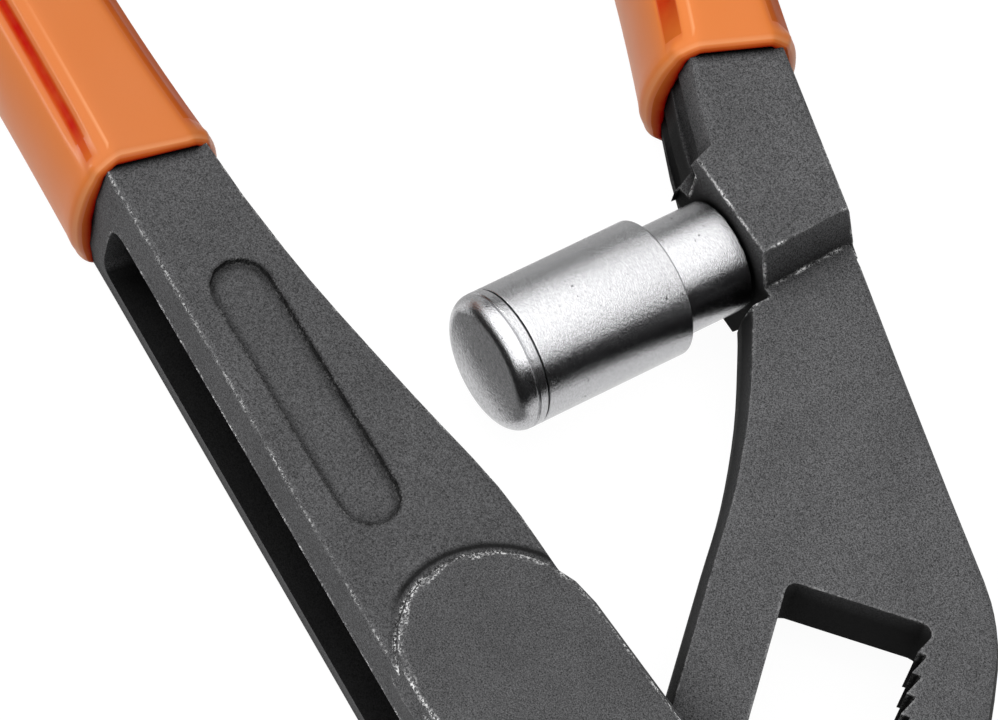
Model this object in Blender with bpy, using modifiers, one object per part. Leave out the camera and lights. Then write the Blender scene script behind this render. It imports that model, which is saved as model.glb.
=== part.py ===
"""Box joint pipe pliers with a toothed adjusting slot and a sprung handle stop.

The pliers lie flat.  The pivot axis is the Z axis, the handles run towards -X and the
jaws towards +X.  The underside of the pivot bolt and of both grips lie at height zero.
"""
import math

import bmesh
import bpy
from mathutils import Matrix, Vector

MM = 0.001

# Thicknesses, each measured across the whole piece
plate_thickness = 6.0 * MM
handle_thickness = 13.0 * MM
rack_jaw_thickness = 12.0 * MM
pad_rise = 0.7 * MM
grip_wall = 1.2 * MM

# Clearances
seat_gap = 0.3 * MM
slide_gap = 0.35 * MM
close_gap = 0.15 * MM
swing_gap = 0.5 * MM
overrun = 3.0 * MM

# Forging
draft = 0.6 * MM
plate_draft = 0.4 * MM
forged_edge = 0.5 * MM
plate_edge = 0.5 * MM

# Handles: the reach runs from the pivot to the front rims of the grips
joint_reach = 80.0 * MM
grip_length = 108.0 * MM
tang_end_gap = 8.0 * MM
handle_angle = math.radians(9.5)
handle_bend = math.radians(11.0)
box_tang_width = 8.55 * MM
rack_tang_width = 7.75 * MM
box_grip_width = 11.4 * MM
rack_grip_width = 11.4 * MM
rim_flare = 0.85 * MM
rim_flare_share = 0.2
grip_lead = 6.0 * MM
tang_swell_share = 0.10
tang_taper_share = 0.30
grip_taper_share = 0.10
grip_draft = 1.0 * MM
grip_edge = 2.2 * MM
grip_flat = 1.5 * MM

box_tang_start_share = (-1.020, -0.2258)
box_grip_start_share = (-1.031, -0.2290)
box_outer_edge_shares = ((-0.960, -0.2826), (-0.200, -0.1890))
box_inner_edge_shares = ((-0.960, -0.1484), (-0.850, -0.1190), (-0.700, -0.0683), (-0.575, -0.0233),
                         (-0.475, -0.0015), (-0.450, 0.0040), (-0.419, 0.0125), (-0.325, 0.0315),
                         (-0.170, 0.0850))

rack_tang_start_share = (-0.982, 0.3994)
rack_grip_start_share = (-0.982, 0.3975)
rack_outer_edge_shares = ((-0.930, 0.4558), (-0.775, 0.4470), (-0.722, 0.4478), (-0.600, 0.4393),
                          (-0.450, 0.4298))
rack_bend_shares = ((-0.350, 0.4245), (-0.3125, 0.4190), (-0.2625, 0.4005), (-0.165, 0.3410))
rack_inner_edge_shares = ((-0.930, 0.3276), (-0.885, 0.3207))
rack_boss_shares = ((-0.872, 0.2975), (-0.840, 0.2870), (-0.760, 0.2950), (-0.714, 0.3125))
rack_plate_inner_shares = ((-0.714, 0.3081), (-0.684, 0.2956), (-0.606, 0.2585), (-0.525, 0.2094))
plate_root_shares = ((-0.820, 0.345), (-0.820, 0.420))

# Joint and toothed slot; across means square to the slot
slot_angle = math.radians(-37.0)
plate_inner_half = 11.9 * MM
plate_outer_half = 13.8 * MM
bolt_radius = 5.0 * MM
window_start_share = 0.46125
window_end = 21.0 * MM
window_corner = 0.9 * MM
rack_tip_across = 6.2 * MM
tooth_depth = 0.75 * MM
tooth_pitch = 1.95 * MM
tooth_flank_share = 0.84
tooth_root_share = 0.12
first_tooth_inset = 2.7 * MM
boss_radius = 12.8 * MM
boss_start = math.radians(-95.0)
web_thickness = 4.6 * MM
channel_end_share = -0.9825
channel_corner = 1.6 * MM
pad_end_shares = (-0.401, -0.0963)
pad_end_radius = 9.2 * MM
pad_boss_radius = 8.9 * MM
pad_edge = 0.8 * MM
pad_wall = 0.5 * MM

# Movement of the joints, which the cuts leave room for
open_swing = math.radians(-22.0)
close_swing = math.radians(1.5)
slot_reach = 60.0 * MM
pawl_travel = 0.9 * MM

# Step from the thick handle down to the plate
step_shares = (-0.738, 0.3937)
step_angle = math.radians(-77.0)
step_run = 1.6 * MM
step_past = 1.2 * MM
step_inner = 3.2 * MM
step_outer = 3.8 * MM

# Recessed panel on the front of the box handle
panel_shares = ((-0.859, -0.1975), (-0.599, -0.1610))
panel_radius = 2.6 * MM
panel_depth = 0.6 * MM
panel_fillet = 0.35 * MM

# Jaws
jaw_length = 44.0 * MM
box_jaw_face = 13.0 * MM
jaw_opening = 17.5 * MM
jaw_root = 15.2 * MM
jaw_tooth_pitch = 2.2 * MM
jaw_tooth_depth = 0.9 * MM
pipe_hollow_depth = 2.6 * MM
pipe_hollow_share = (0.42, 0.24)
jaw_start = 9.0 * MM
jaw_throat = 5.0 * MM
box_jaw_back_shares = ((1.000, 0.130), (0.860, 0.030), (0.640, -0.110), (0.400, -0.235), (0.180, -0.330))
rack_jaw_back_shares = ((1.000, 0.157), (0.860, 0.252), (0.620, 0.337), (0.250, 0.377), (-0.222, 0.347),
                        (-0.850, 0.227), (-1.054, 0.047))

# Pivot bolt, washer and clip
bolt_head_radius = 7.5 * MM
bolt_head_height = 1.2 * MM
front_recess_depth = 1.7 * MM
rear_recess_depth = 2.0 * MM
washer_thickness = 0.7 * MM
clip_thickness = 0.7 * MM
clip_groove = 0.7 * MM
clip_width = 1.9 * MM
clip_opening = math.radians(38.0)
edge_chamfer = 0.3 * MM

# Pawl, its wedge button and their springs
pawl_thickness = 5.0 * MM
pawl_stem_width = 3.6 * MM
pawl_head_width = 9.2 * MM
pawl_head_back = 2.9 * MM
pawl_stem_back = 3.2 * MM
pawl_play = 0.4 * MM
pawl_side_play = 0.25 * MM
wedge_share = 0.6
wedge_across = 0.4 * MM
blade_width = 1.8 * MM
blade_foot = 1.4 * MM
button_radius = 2.3 * MM
button_rise = 1.3 * MM
button_dome = 0.3 * MM
flange_radius = 3.0 * MM
flange_thickness = 1.1 * MM
tip_radius = 0.6 * MM
tip_length = 1.0 * MM
foot_across = 1.5 * MM
spring_bore = 1.9 * MM
bore_floor = 0.8 * MM
snap_wire = 0.7 * MM
snap_share = 0.2
ring_groove = 0.5 * MM
pawl_spring_offset = 3.35 * MM
pawl_pocket_radius = 0.75 * MM
pawl_pocket_depth = 1.0 * MM
bolt_pocket_depth = 2.2 * MM
pawl_wire = 0.28 * MM
pawl_coil_radius = 0.48 * MM
pawl_spring_turns = 4
button_wire = 0.36 * MM
button_coil_radius = 1.3 * MM
button_spring_turns = 3.5

# Handle stop: the plunger
plunger_seat_shares = (-0.795, 0.321)
plunger_angle = math.radians(-79.2)
spot_play = 0.45 * MM
spot_reach = 20.0 * MM
stem_radius = 4.85 * MM
stem_length = 12.6 * MM
stem_root_radius = 3.6 * MM
stem_root_length = 6.4 * MM
stem_bore_radius = 3.3 * MM
stem_bore_floor = 2.6 * MM
sleeve_radius = 6.0 * MM
sleeve_start = 6.8 * MM
sleeve_end = 21.0 * MM
sleeve_guide = 2.6 * MM
sleeve_wall = 0.5 * MM
cap_height = 2.5 * MM
cap_edge = 1.5 * MM
cap_plug = 1.5 * MM
cap_seat = 0.25 * MM
cap_dome = 0.15 * MM
ring_wire = 1.0 * MM
ring_reach = 0.45 * MM
ring_seat = 0.65 * MM
ring_height = 10.2 * MM
pin_radius = 1.0 * MM
pin_depth = 4.2 * MM
pin_turn = math.radians(5.0)
ring_opening = math.radians(30.0)
plunger_wire = 0.8 * MM
plunger_spring_radius = 2.7 * MM
plunger_spring_turns = 8

# Flutes along the inner side of the rack handle
flute_shares = ((-1.010, 0.3425), (-0.944, 0.3308), (-0.903, 0.3246), (-0.860, 0.3120))
flute_radius = 2.2 * MM
flute_depth = 0.55 * MM
flute_height = 2.9 * MM

# Facets
arc_steps = 6
round_steps = 32
run_steps = 4
wire_steps = 8

# Derived heights, measured from the mid plane of the pliers
plate_half = plate_thickness / 2
handle_half = handle_thickness / 2
pad_half = handle_half + pad_rise
grip_half = handle_half + grip_wall
slot_half = plate_half + slide_gap
window_back = bolt_radius + seat_gap
rack_root_across = rack_tip_across + tooth_depth
rack_jaw_face = box_jaw_face + jaw_opening
flat_across = pawl_head_back - pawl_travel - pawl_play
recess_radius = bolt_head_radius + seat_gap
tang_length = grip_length - tang_end_gap
window_start = window_start_share * joint_reach
pawl_half = pawl_thickness / 2
bolt_flat_half = plate_half + close_gap
front_floor = pad_half - front_recess_depth
head_low = front_floor + seat_gap
head_top = head_low + bolt_head_height
rear_floor = rear_recess_depth - pad_half
washer_low = rear_floor - seat_gap - washer_thickness
clip_low = washer_low - seat_gap - clip_thickness
bolt_low = -grip_half
button_bore = flange_radius + seat_gap
snap_height = head_top - snap_wire
flange_top = snap_height - snap_wire / 2 - seat_gap
flange_low = flange_top - flange_thickness
ring_core = stem_radius + ring_reach - ring_wire - close_gap
pin_low = -handle_half + seat_gap
pin_top = stem_root_radius - seat_gap * 4


def flat_point(share_pair, size=joint_reach):
    """A point of the plan, given as shares of a size."""
    return Vector((share_pair[0] * size, share_pair[1] * size))


def turned(point, angle):
    """The plan point turned about the pivot."""
    c, s = math.cos(angle), math.sin(angle)
    return Vector((point[0] * c - point[1] * s, point[0] * s + point[1] * c))


def from_slot(along, across):
    """A plan point given along the slot, towards the jaws, and across it."""
    return turned((along, across), slot_angle)


def arc(centre, radius, start, end, steps=arc_steps):
    """Points of an arc, both ends included."""
    angles = [start + (end - start) * i / steps for i in range(steps + 1)]
    return [Vector((centre[0] + radius * math.cos(a), centre[1] + radius * math.sin(a))) for a in angles]


def smooth_run(points, steps=run_steps):
    """A smooth open curve through the points."""
    points = [Vector(p) for p in points]
    padded = [2 * points[0] - points[1]] + points + [2 * points[-1] - points[-2]]
    run = []
    for p0, p1, p2, p3 in zip(padded, padded[1:], padded[2:], padded[3:]):
        for i in range(steps):
            t = i / steps
            run.append(0.5 * (2 * p1 + (p2 - p0) * t + (2 * p0 - 5 * p1 + 4 * p2 - p3) * t ** 2
                              + (3 * p1 - p0 - 3 * p2 + p3) * t ** 3))
    return run + [points[-1]]


def rounded(corners, steps=arc_steps):
    """A closed outline whose corners, each a point and a radius, are arcs."""
    outline = []
    for i, (corner, radius) in enumerate(corners):
        corner = Vector(corner)
        before = (Vector(corners[i - 1][0]) - corner).normalized()
        after = (Vector(corners[(i + 1) % len(corners)][0]) - corner).normalized()
        if radius == 0:
            outline.append(corner)
            continue
        half = before.angle(after) / 2
        centre = corner + (before + after).normalized() * (radius / math.sin(half))
        first = corner + before * (radius / math.tan(half)) - centre
        last = corner + after * (radius / math.tan(half)) - centre
        start = math.atan2(first.y, first.x)
        sweep = math.remainder(math.atan2(last.y, last.x) - start, math.tau)
        outline += arc(centre, radius, start, start + sweep, steps)
    return outline


def grown(outline, distance):
    """A closed outline, given anticlockwise, moved outwards by a distance."""
    moved = []
    for i, point in enumerate(outline):
        before = (point - outline[i - 1]).normalized()
        after = (outline[(i + 1) % len(outline)] - point).normalized()
        out_before = Vector((before.y, -before.x))
        out_after = Vector((after.y, -after.x))
        mitre = (out_before + out_after).normalized()
        moved.append(point + mitre * (distance / max(mitre.dot(out_after), 0.5)))
    return moved


def without_repeats(outline):
    """The outline with points closer than a hundredth of a millimetre merged."""
    kept = []
    for point in outline:
        if not kept or (point - kept[-1]).length > seat_gap / 30:
            kept.append(point)
    if (kept[0] - kept[-1]).length < seat_gap / 30:
        kept.pop()
    return kept


def material(name, colour, roughness, metallic):
    """A plain surface of one colour."""
    made = bpy.data.materials.new(name)
    made.use_nodes = True
    shader = made.node_tree.nodes["Principled BSDF"]
    shader.inputs["Base Color"].default_value = (*colour, 1.0)
    shader.inputs["Roughness"].default_value = roughness
    shader.inputs["Metallic"].default_value = metallic
    made.diffuse_color = (*colour, 1.0)
    return made


def collection(name):
    """A collection linked to the scene."""
    made = bpy.data.collections.new(name)
    bpy.context.scene.collection.children.link(made)
    return made


def empty(name, location, rotation=(0, 0, 0), parent=None):
    """An axis that pieces are placed on."""
    made = bpy.data.objects.new(name, None)
    made.location = location
    made.rotation_euler = rotation
    made.parent = parent
    parts.objects.link(made)
    return made


def keep_piece(obj, surface, parent):
    """Files an object as a piece of the pliers."""
    obj.data.materials.append(surface)
    obj.parent = parent
    parts.objects.link(obj)
    return obj


def keep_cutter(obj, parent=None):
    """Files an object that only cuts or joins others."""
    obj.parent = parent
    obj.hide_render = True
    obj.display_type = "WIRE"
    cutters.objects.link(obj)
    return obj


def joined(obj, tool, operation="UNION"):
    """Adds a Boolean of the object with a tool."""
    change = obj.modifiers.new(tool.name, "BOOLEAN")
    change.operation = operation
    change.object = tool
    change.solver = "EXACT"
    return obj


def cut(obj, *tools):
    """Cuts the tools out of the object."""
    for tool in tools:
        joined(obj, tool, "DIFFERENCE")
    return obj


def mesh_from_curve(curve_object):
    """The curve object as a welded mesh object of the same name."""
    bpy.context.scene.collection.objects.link(curve_object)
    bpy.context.view_layer.update()
    graph = bpy.context.evaluated_depsgraph_get()
    mesh = bpy.data.meshes.new_from_object(curve_object.evaluated_get(graph))
    bm = bmesh.new()
    bm.from_mesh(mesh)
    bmesh.ops.remove_doubles(bm, verts=bm.verts, dist=seat_gap / 100)
    bmesh.ops.recalc_face_normals(bm, faces=bm.faces)
    bm.to_mesh(mesh)
    bm.free()
    name = curve_object.name
    bpy.data.objects.remove(curve_object)
    return bpy.data.objects.new(name, mesh)


def slab(name, outline, low, high):
    """A flat outline as a straight block between two heights."""
    bm = bmesh.new()
    face = bm.faces.new([bm.verts.new((p[0], p[1], low)) for p in without_repeats(outline)])
    raised = bmesh.ops.extrude_face_region(bm, geom=[face])["geom"]
    bmesh.ops.translate(bm, verts=[v for v in raised if isinstance(v, bmesh.types.BMVert)],
                        vec=(0, 0, high - low))
    bmesh.ops.recalc_face_normals(bm, faces=bm.faces)
    mesh = bpy.data.meshes.new(name)
    bm.to_mesh(mesh)
    bm.free()
    return bpy.data.objects.new(name, mesh)


def softened(obj, chosen, radius, steps=3):
    """Rounds those edges of the object whose two ends pass the test."""
    bm = bmesh.new()
    bm.from_mesh(obj.data)
    picked = [edge for edge in bm.edges if chosen(*(vert.co for vert in edge.verts))]
    bmesh.ops.bevel(bm, geom=picked, offset=radius, segments=steps, profile=0.5, affect="EDGES")
    bm.to_mesh(obj.data)
    bm.free()
    return obj


def swept(name, path, section):
    """A bar with the section, pairs of outward and upward distances, along a line in plan."""
    bm = bmesh.new()
    rings = []
    for i, point in enumerate(path):
        ahead = (path[min(i + 1, len(path) - 1)] - path[max(i - 1, 0)]).normalized()
        outward = Vector((ahead.y, -ahead.x))
        rings.append([bm.verts.new((*(point + outward * out), up)) for out, up in section])
    for ring, following in zip(rings, rings[1:]):
        for j, vert in enumerate(ring):
            bm.faces.new((ring[j - 1], vert, following[j], following[j - 1]))
    bm.faces.new(rings[0])
    bm.faces.new(rings[-1])
    bmesh.ops.recalc_face_normals(bm, faces=bm.faces)
    mesh = bpy.data.meshes.new(name)
    bm.to_mesh(mesh)
    bm.free()
    return bpy.data.objects.new(name, mesh)


def forged_blank(name, outline, half_thickness, band, inset, edge, edge_steps=2):
    """A drop forging: an upright band at its mid plane, drafted walls and rounded edges."""
    bm = bmesh.new()
    face = bm.faces.new([bm.verts.new((p[0], p[1], 0)) for p in without_repeats(outline)])
    raised = bmesh.ops.extrude_face_region(bm, geom=[face])["geom"]
    bmesh.ops.translate(bm, verts=[v for v in raised if isinstance(v, bmesh.types.BMVert)], vec=(0, 0, band))
    bmesh.ops.delete(bm, geom=[face], context="FACES_ONLY")
    face = next(f for f in raised if isinstance(f, bmesh.types.BMFace))
    rise = half_thickness - band - edge
    steps = [(inset, rise)]
    for i in range(edge_steps):
        a, b = (math.pi / 2 * k / edge_steps for k in (i, i + 1))
        steps.append((edge * (math.cos(a) - math.cos(b)), edge * (math.sin(b) - math.sin(a))))
    for thickness, depth in steps:
        bmesh.ops.inset_region(bm, faces=[face], thickness=thickness, depth=depth,
                               use_even_offset=True, use_boundary=True)
    bmesh.ops.dissolve_degenerate(bm, dist=seat_gap / 100, edges=bm.edges)
    mesh = bpy.data.meshes.new(name)
    bm.to_mesh(mesh)
    bm.free()
    made = bpy.data.objects.new(name, mesh)
    other_half = made.modifiers.new("other_half", "MIRROR")
    other_half.use_axis = (False, False, True)
    other_half.merge_threshold = seat_gap / 100
    return made


def turning(name, profile, steps=round_steps, closed=False):
    """A turned piece; the profile holds radius and height pairs and runs down the outer side."""
    count = len(profile)
    mesh = bpy.data.meshes.new(name)
    mesh.from_pydata([(radius, 0, height) for radius, height in profile],
                     [(i, (i + 1) % count) for i in range(count if closed else count - 1)], [])
    made = bpy.data.objects.new(name, mesh)
    turn = made.modifiers.new("turn", "SCREW")
    turn.axis = "Z"
    turn.steps = steps
    turn.render_steps = steps
    turn.use_merge_vertices = True
    turn.merge_threshold = seat_gap / 100
    return made


def ring_turning(name, profile, steps=round_steps):
    """A turned ring: the closed profile runs down its outer side and up its inner side."""
    return turning(name, profile, steps, True)


def coil(name, radius, wire, low, high, turns):
    """A compression spring about the Z axis with a straight tail along each end."""
    tail = wire
    count = int(turns * wire_steps)
    climb = high - low - 2 * wire
    helix = []
    for i in range(count + 1):
        angle = math.tau * turns * i / count
        height = low + wire + climb * i / count
        helix.append(Vector((radius * math.cos(angle), radius * math.sin(angle), height)))
    first = helix[0] - Vector((0, tail, 0))
    last_turn = math.tau * turns
    last = helix[-1] + tail * Vector((-math.sin(last_turn), math.cos(last_turn), 0))
    route = [first] + helix + [last]
    print(name, "least gap between turns, mm:", round((climb / turns - wire) / MM, 3))
    curve = bpy.data.curves.new(name, "CURVE")
    curve.dimensions = "3D"
    curve.bevel_depth = wire / 2
    curve.bevel_resolution = 1
    curve.use_fill_caps = True
    spline = curve.splines.new("POLY")
    spline.points.add(len(route) - 1)
    for spot, point in zip(spline.points, route):
        spot.co = (*point, 1)
    return mesh_from_curve(bpy.data.objects.new(name, curve))


def tang_edges(start, width, side, length, taper_share):
    """The two edges of a tang or a grip, from the grip's flared rim to its end.

    side is -1 for the handle that bends towards -Y and 1 for the one towards +Y.
    """
    count = 15
    inner, outer, place = [], [], Vector(start)
    for i in range(count + 1):
        share = i / count
        heading = math.pi - side * (handle_angle - handle_bend * share * length / grip_length)
        ahead = Vector((math.cos(heading), math.sin(heading)))
        if i:
            place = place + ahead * (length / count)
        half = width / 2 * (1 + tang_swell_share * math.sin(math.pi * share) - taper_share * share)
        half += rim_flare * max(0.0, 1 - share / rim_flare_share) ** 2
        across = Vector((ahead.y, -ahead.x)) * side
        outer.append(place + across * half)
        inner.append(place - across * half)
    return inner, outer


def tang_tip(first, last):
    """A round end from one edge of a tang to the other, ends left out."""
    centre = (first + last) / 2
    start = math.atan2(*(first - centre).yx)
    return arc(centre, (first - last).length / 2, start, start + math.pi, 2 * arc_steps)[1:-1]


def shares(pairs, size=joint_reach):
    """Plan points from a table of share pairs."""
    return [flat_point(pair, size) for pair in pairs]


def box_outline():
    """Plan of the box member: handle, joint boss and jaw in one line."""
    start = flat_point(box_tang_start_share)
    inner, outer = tang_edges(start, box_tang_width, -1, tang_length, tang_taper_share)
    front = box_jaw_face + jaw_tooth_depth
    outline = list(reversed(outer)) + shares(box_outer_edge_shares)
    outline += arc((0, 0), boss_radius, boss_start, slot_angle)
    outline += [from_slot(front, jaw_start), from_slot(front, jaw_length)]
    back = [from_slot(along * jaw_length, across * jaw_length) for across, along in box_jaw_back_shares]
    outline += smooth_run(back + list(reversed(shares(box_inner_edge_shares))), 3)
    return outline + inner + tang_tip(inner[-1], outer[-1])


def rack_handle_outline():
    """Plan of the thick handle of the rack member, a little past its step."""
    start = flat_point(rack_tang_start_share)
    inner, outer = tang_edges(start, rack_tang_width, 1, tang_length, tang_taper_share)
    outline = list(reversed(inner)) + shares(rack_inner_edge_shares)
    outline += smooth_run(shares(rack_boss_shares), 3)
    along = Vector((math.cos(step_angle), math.sin(step_angle)))
    ahead = Vector((-along.y, along.x))
    middle = flat_point(step_shares) + ahead * step_past
    outline += [middle + along * step_inner, middle - along * step_outer]
    outline += list(reversed(shares(rack_outer_edge_shares[:2])))
    return outline + outer + tang_tip(outer[-1], inner[-1])


def rack_plate_outline():
    """Plan of the plate that runs through the box, from inside the handle to inside the jaw."""
    inner = smooth_run(shares(rack_plate_inner_shares) + [from_slot(-window_start, -plate_inner_half)])
    outline = [flat_point(plate_root_shares[0])] + inner
    outline += [from_slot(rack_jaw_face + jaw_root / 2, -plate_inner_half)]
    outline += [from_slot(rack_jaw_face + jaw_root / 2, plate_outer_half)]
    bend = list(reversed(shares(rack_bend_shares)))
    outline += smooth_run([from_slot(-window_end, plate_outer_half)] + bend, 3)
    outline += list(reversed(shares(rack_outer_edge_shares[1:])))
    return outline + [flat_point(plate_root_shares[1])]


def rack_jaw_outline():
    """Plan of the thick jaw of the rack member."""
    front = rack_jaw_face - jaw_tooth_depth
    back = [from_slot(rack_jaw_face + along * jaw_length,
                      across * (jaw_length if across > 0 else plate_inner_half))
            for across, along in rack_jaw_back_shares]
    outline = smooth_run(list(reversed(back)), 3)
    return outline + [from_slot(front, jaw_length), from_slot(front, jaw_start),
                      from_slot(rack_jaw_face, -plate_inner_half)]


def jaw_cut_outline(face, side):
    """What is cut off a jaw to leave its toothed face; side is 1 when the cut lies ahead."""
    hollow_centre, hollow_half = (share * jaw_length for share in pipe_hollow_share)
    outline = []
    across = jaw_start - jaw_throat
    while across < jaw_length + overrun:
        reach = (across - hollow_centre) / hollow_half
        hollow = pipe_hollow_depth * max(0.0, 1 - reach ** 2)
        outline.append(from_slot(face - side * hollow, across))
        outline.append(from_slot(face - side * (hollow + jaw_tooth_depth), across))
        across += jaw_tooth_pitch
    away = face + side * (jaw_tooth_depth + overrun)
    outline += [from_slot(away, across), from_slot(away, jaw_start - jaw_throat)]
    return outline if side < 0 else list(reversed(outline))


def rack_teeth(first, last, along_shift=0, across_shift=0):
    """The line of rack teeth from one distance along the slot to another."""
    line = []
    tip = first_tooth_inset - window_start
    while tip < last:
        if tip - tooth_pitch * (1 - tooth_root_share) > first:
            start = tip - tooth_pitch * (1 - tooth_root_share)
            flank_end = start + tooth_pitch * tooth_flank_share
            line += [(tip - tooth_pitch, rack_root_across), (start, rack_root_across),
                     (flank_end, rack_tip_across), (tip, rack_tip_across)]
        tip += tooth_pitch
    line.append((tip - tooth_pitch, rack_root_across))
    return [Vector((along + along_shift, across + across_shift)) for along, across in line]


def window_outline():
    """The adjusting window: one smooth wall and one wall of rack teeth."""
    teeth = rack_teeth(-window_start, window_end - window_corner)
    back = -window_back
    start, end = -window_start, window_end
    corners = rounded([((end, rack_root_across), window_corner), ((start, rack_root_across), window_corner),
                       ((start, back), window_corner), ((end, back), window_corner)], 3)
    per_corner = len(corners) // 4
    outline = corners[:per_corner] + list(reversed(teeth[1:])) + corners[per_corner:]
    return [from_slot(*point) for point in outline]


def box_slot_cutters():
    """Room in the box for the swinging plate, and the channel along its outer side."""
    made = []
    inner = -plate_inner_half - swing_gap
    outer = plate_outer_half + swing_gap
    strip = ((-slot_reach, inner), (slot_reach, inner), (slot_reach, outer), (-slot_reach, outer))
    for name, swing in (("slot_open", open_swing), ("slot_closed", close_swing)):
        outline = [turned(from_slot(*corner), swing) for corner in strip]
        made.append(keep_cutter(slab(name, outline, -slot_half, slot_half), mid_plane))
    web = [point + web_thickness * Vector((math.sin(handle_angle), -math.cos(handle_angle)))
           for point in shares(box_inner_edge_shares)]
    far = joint_reach / 2
    corners = [((channel_end_share * joint_reach, -far), 0), ((0, -far), 0), ((0, -web_thickness), 0)]
    corners += [(point, 0) for point in reversed(web[2:-1])]
    end_y = web[1].y + (channel_end_share * joint_reach - web[1].x) * math.tan(handle_angle)
    corners += [((channel_end_share * joint_reach, end_y), 0)]
    channel = slab("channel", rounded(corners), -slot_half, slot_half)
    channel_end = channel_end_share * joint_reach + close_gap
    softened(channel, lambda a, b: max(a.x, b.x) < channel_end and a.z == b.z, channel_corner)
    made.append(keep_cutter(channel, mid_plane))
    return made


def pad_outline():
    """The raised pad from the joint boss a little way up the handle."""
    end = flat_point(pad_end_shares)
    heading = math.atan2(end.y, end.x)
    lean = math.acos((pad_boss_radius - pad_end_radius) / end.length)
    outline = arc((0, 0), pad_boss_radius, heading + lean - math.tau, heading - lean, 3 * arc_steps)
    return outline + arc(end, pad_end_radius, heading - lean, heading + lean, 2 * arc_steps)


def panel_outline():
    """A long panel with round ends."""
    first, last = shares(panel_shares)
    heading = math.atan2(*(last - first).yx)
    quarter = math.pi / 2
    outline = arc(last, panel_radius, heading - quarter, heading + quarter)
    return outline + arc(first, panel_radius, heading + quarter, heading + 3 * quarter)


def build_box_member():
    """The member with the box, its jaw, its handle and the channel in the handle."""
    steel = material("box_forging", (0.11, 0.11, 0.115), 0.45, 0.6)
    member = forged_blank("box_member", box_outline(), handle_half, plate_half, draft, forged_edge)
    pad = forged_blank("pad_blank", pad_outline(), pad_half, handle_half - pad_edge, pad_wall, pad_edge)
    joined(member, keep_cutter(pad, mid_plane))
    cut(member, *box_slot_cutters())
    panel = slab("panel", panel_outline(), handle_half - panel_depth, handle_half + overrun)
    softened(panel, lambda a, b: max(a.z, b.z) < handle_half, panel_fillet, 2)
    face = slab("box_jaw_teeth", jaw_cut_outline(box_jaw_face, 1), -handle_thickness, handle_thickness)
    hole = turning("bolt_holes", cylinder(bolt_radius + seat_gap, -handle_thickness, handle_thickness))
    front = turning("head_recess", cylinder(recess_radius, front_floor, handle_thickness))
    rear = turning("washer_recess", cylinder(recess_radius, -handle_thickness, rear_floor))
    for tool in (panel, face, hole, front, rear):
        cut(member, keep_cutter(tool, mid_plane))
    keep_piece(member, steel, mid_plane)


def cylinder(radius, low, high):
    """The profile of a plain cylinder."""
    return [(0, high), (radius, high), (radius, low), (0, low)]


def chamfered(radius, low, high, chamfer):
    """The profile of a cylinder with a chamfer on both ends."""
    return [(0, high), (radius - chamfer, high), (radius, high - chamfer),
            (radius, low + chamfer), (radius - chamfer, low), (0, low)]


def step_wedge(name, side):
    """The wedge that leaves the sloping step between the handle and the plate."""
    low = plate_half - seat_gap
    high = handle_half + overrun
    back = -step_run * (high - plate_half) / (handle_half - plate_half)
    profile = [(0, low), (joint_reach / 2, low), (joint_reach / 2, high), (back, high)]
    half = joint_reach / 4
    bm = bmesh.new()
    rings = []
    for end in (-half, half):
        rings.append([bm.verts.new((u, end, side * z)) for u, z in profile])
    bm.faces.new(rings[0])
    bm.faces.new(list(reversed(rings[1])))
    for i in range(len(profile)):
        j = (i + 1) % len(profile)
        bm.faces.new((rings[0][i], rings[1][i], rings[1][j], rings[0][j]))
    bmesh.ops.recalc_face_normals(bm, faces=bm.faces)
    mesh = bpy.data.meshes.new(name)
    bm.to_mesh(mesh)
    bm.free()
    made = bpy.data.objects.new(name, mesh)
    made.location = (*flat_point(step_shares), 0)
    made.rotation_euler = (0, 0, step_angle + math.pi / 2)
    return keep_cutter(made, mid_plane)


def build_rack_member():
    """The member with the handle, the toothed plate and the other jaw."""
    steel = material("rack_forging", (0.11, 0.11, 0.115), 0.45, 0.6)
    jaw_half = rack_jaw_thickness / 2
    member = forged_blank("rack_member", rack_handle_outline(), handle_half, plate_half, draft, forged_edge)
    cut(member, step_wedge("step_front", 1), step_wedge("step_back", -1))
    plate = forged_blank("plate_blank", rack_plate_outline(), plate_half, plate_half / 3, plate_draft,
                         plate_edge)
    jaw = forged_blank("jaw_blank", rack_jaw_outline(), jaw_half, plate_half / 2, draft, forged_edge)
    joined(member, keep_cutter(plate, mid_plane))
    joined(member, keep_cutter(jaw, mid_plane))
    window = slab("window", window_outline(), -handle_thickness, handle_thickness)
    face = slab("rack_jaw_teeth", jaw_cut_outline(rack_jaw_face, -1), -handle_thickness, handle_thickness)
    for tool in (window, face):
        cut(member, keep_cutter(tool, mid_plane))
    section = arc((flute_radius - flute_depth, 0), flute_radius, 0, math.tau, 2 * arc_steps)[:-1]
    path = smooth_run(shares(flute_shares))
    for name, height in (("flute_front", flute_height), ("flute_back", -flute_height)):
        cut(member, keep_cutter(swept(name, path, [(p.x, p.y + height) for p in section]), mid_plane))
    across = (sleeve_radius + spot_play) * Vector((-plunger_way.y, plunger_way.x))
    near = flat_point(plunger_seat_shares)
    far = near + spot_reach * plunger_way
    flat = slab("seat_flat", [near - across, near + across, far + across, far - across],
                -handle_thickness, handle_thickness)
    cut(member, keep_cutter(flat, mid_plane))
    seat = cylinder(stem_root_radius + seat_gap, -stem_root_length - seat_gap, overrun)
    cut(member, keep_cutter(turning("stem_seat", seat), plunger_axis))
    pin_hole = turning("pin_hole", cylinder(pin_radius + seat_gap, -handle_thickness, pin_top + seat_gap))
    cut(member, keep_cutter(pin_hole, pin_axis))
    keep_piece(member, steel, mid_plane)


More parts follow.
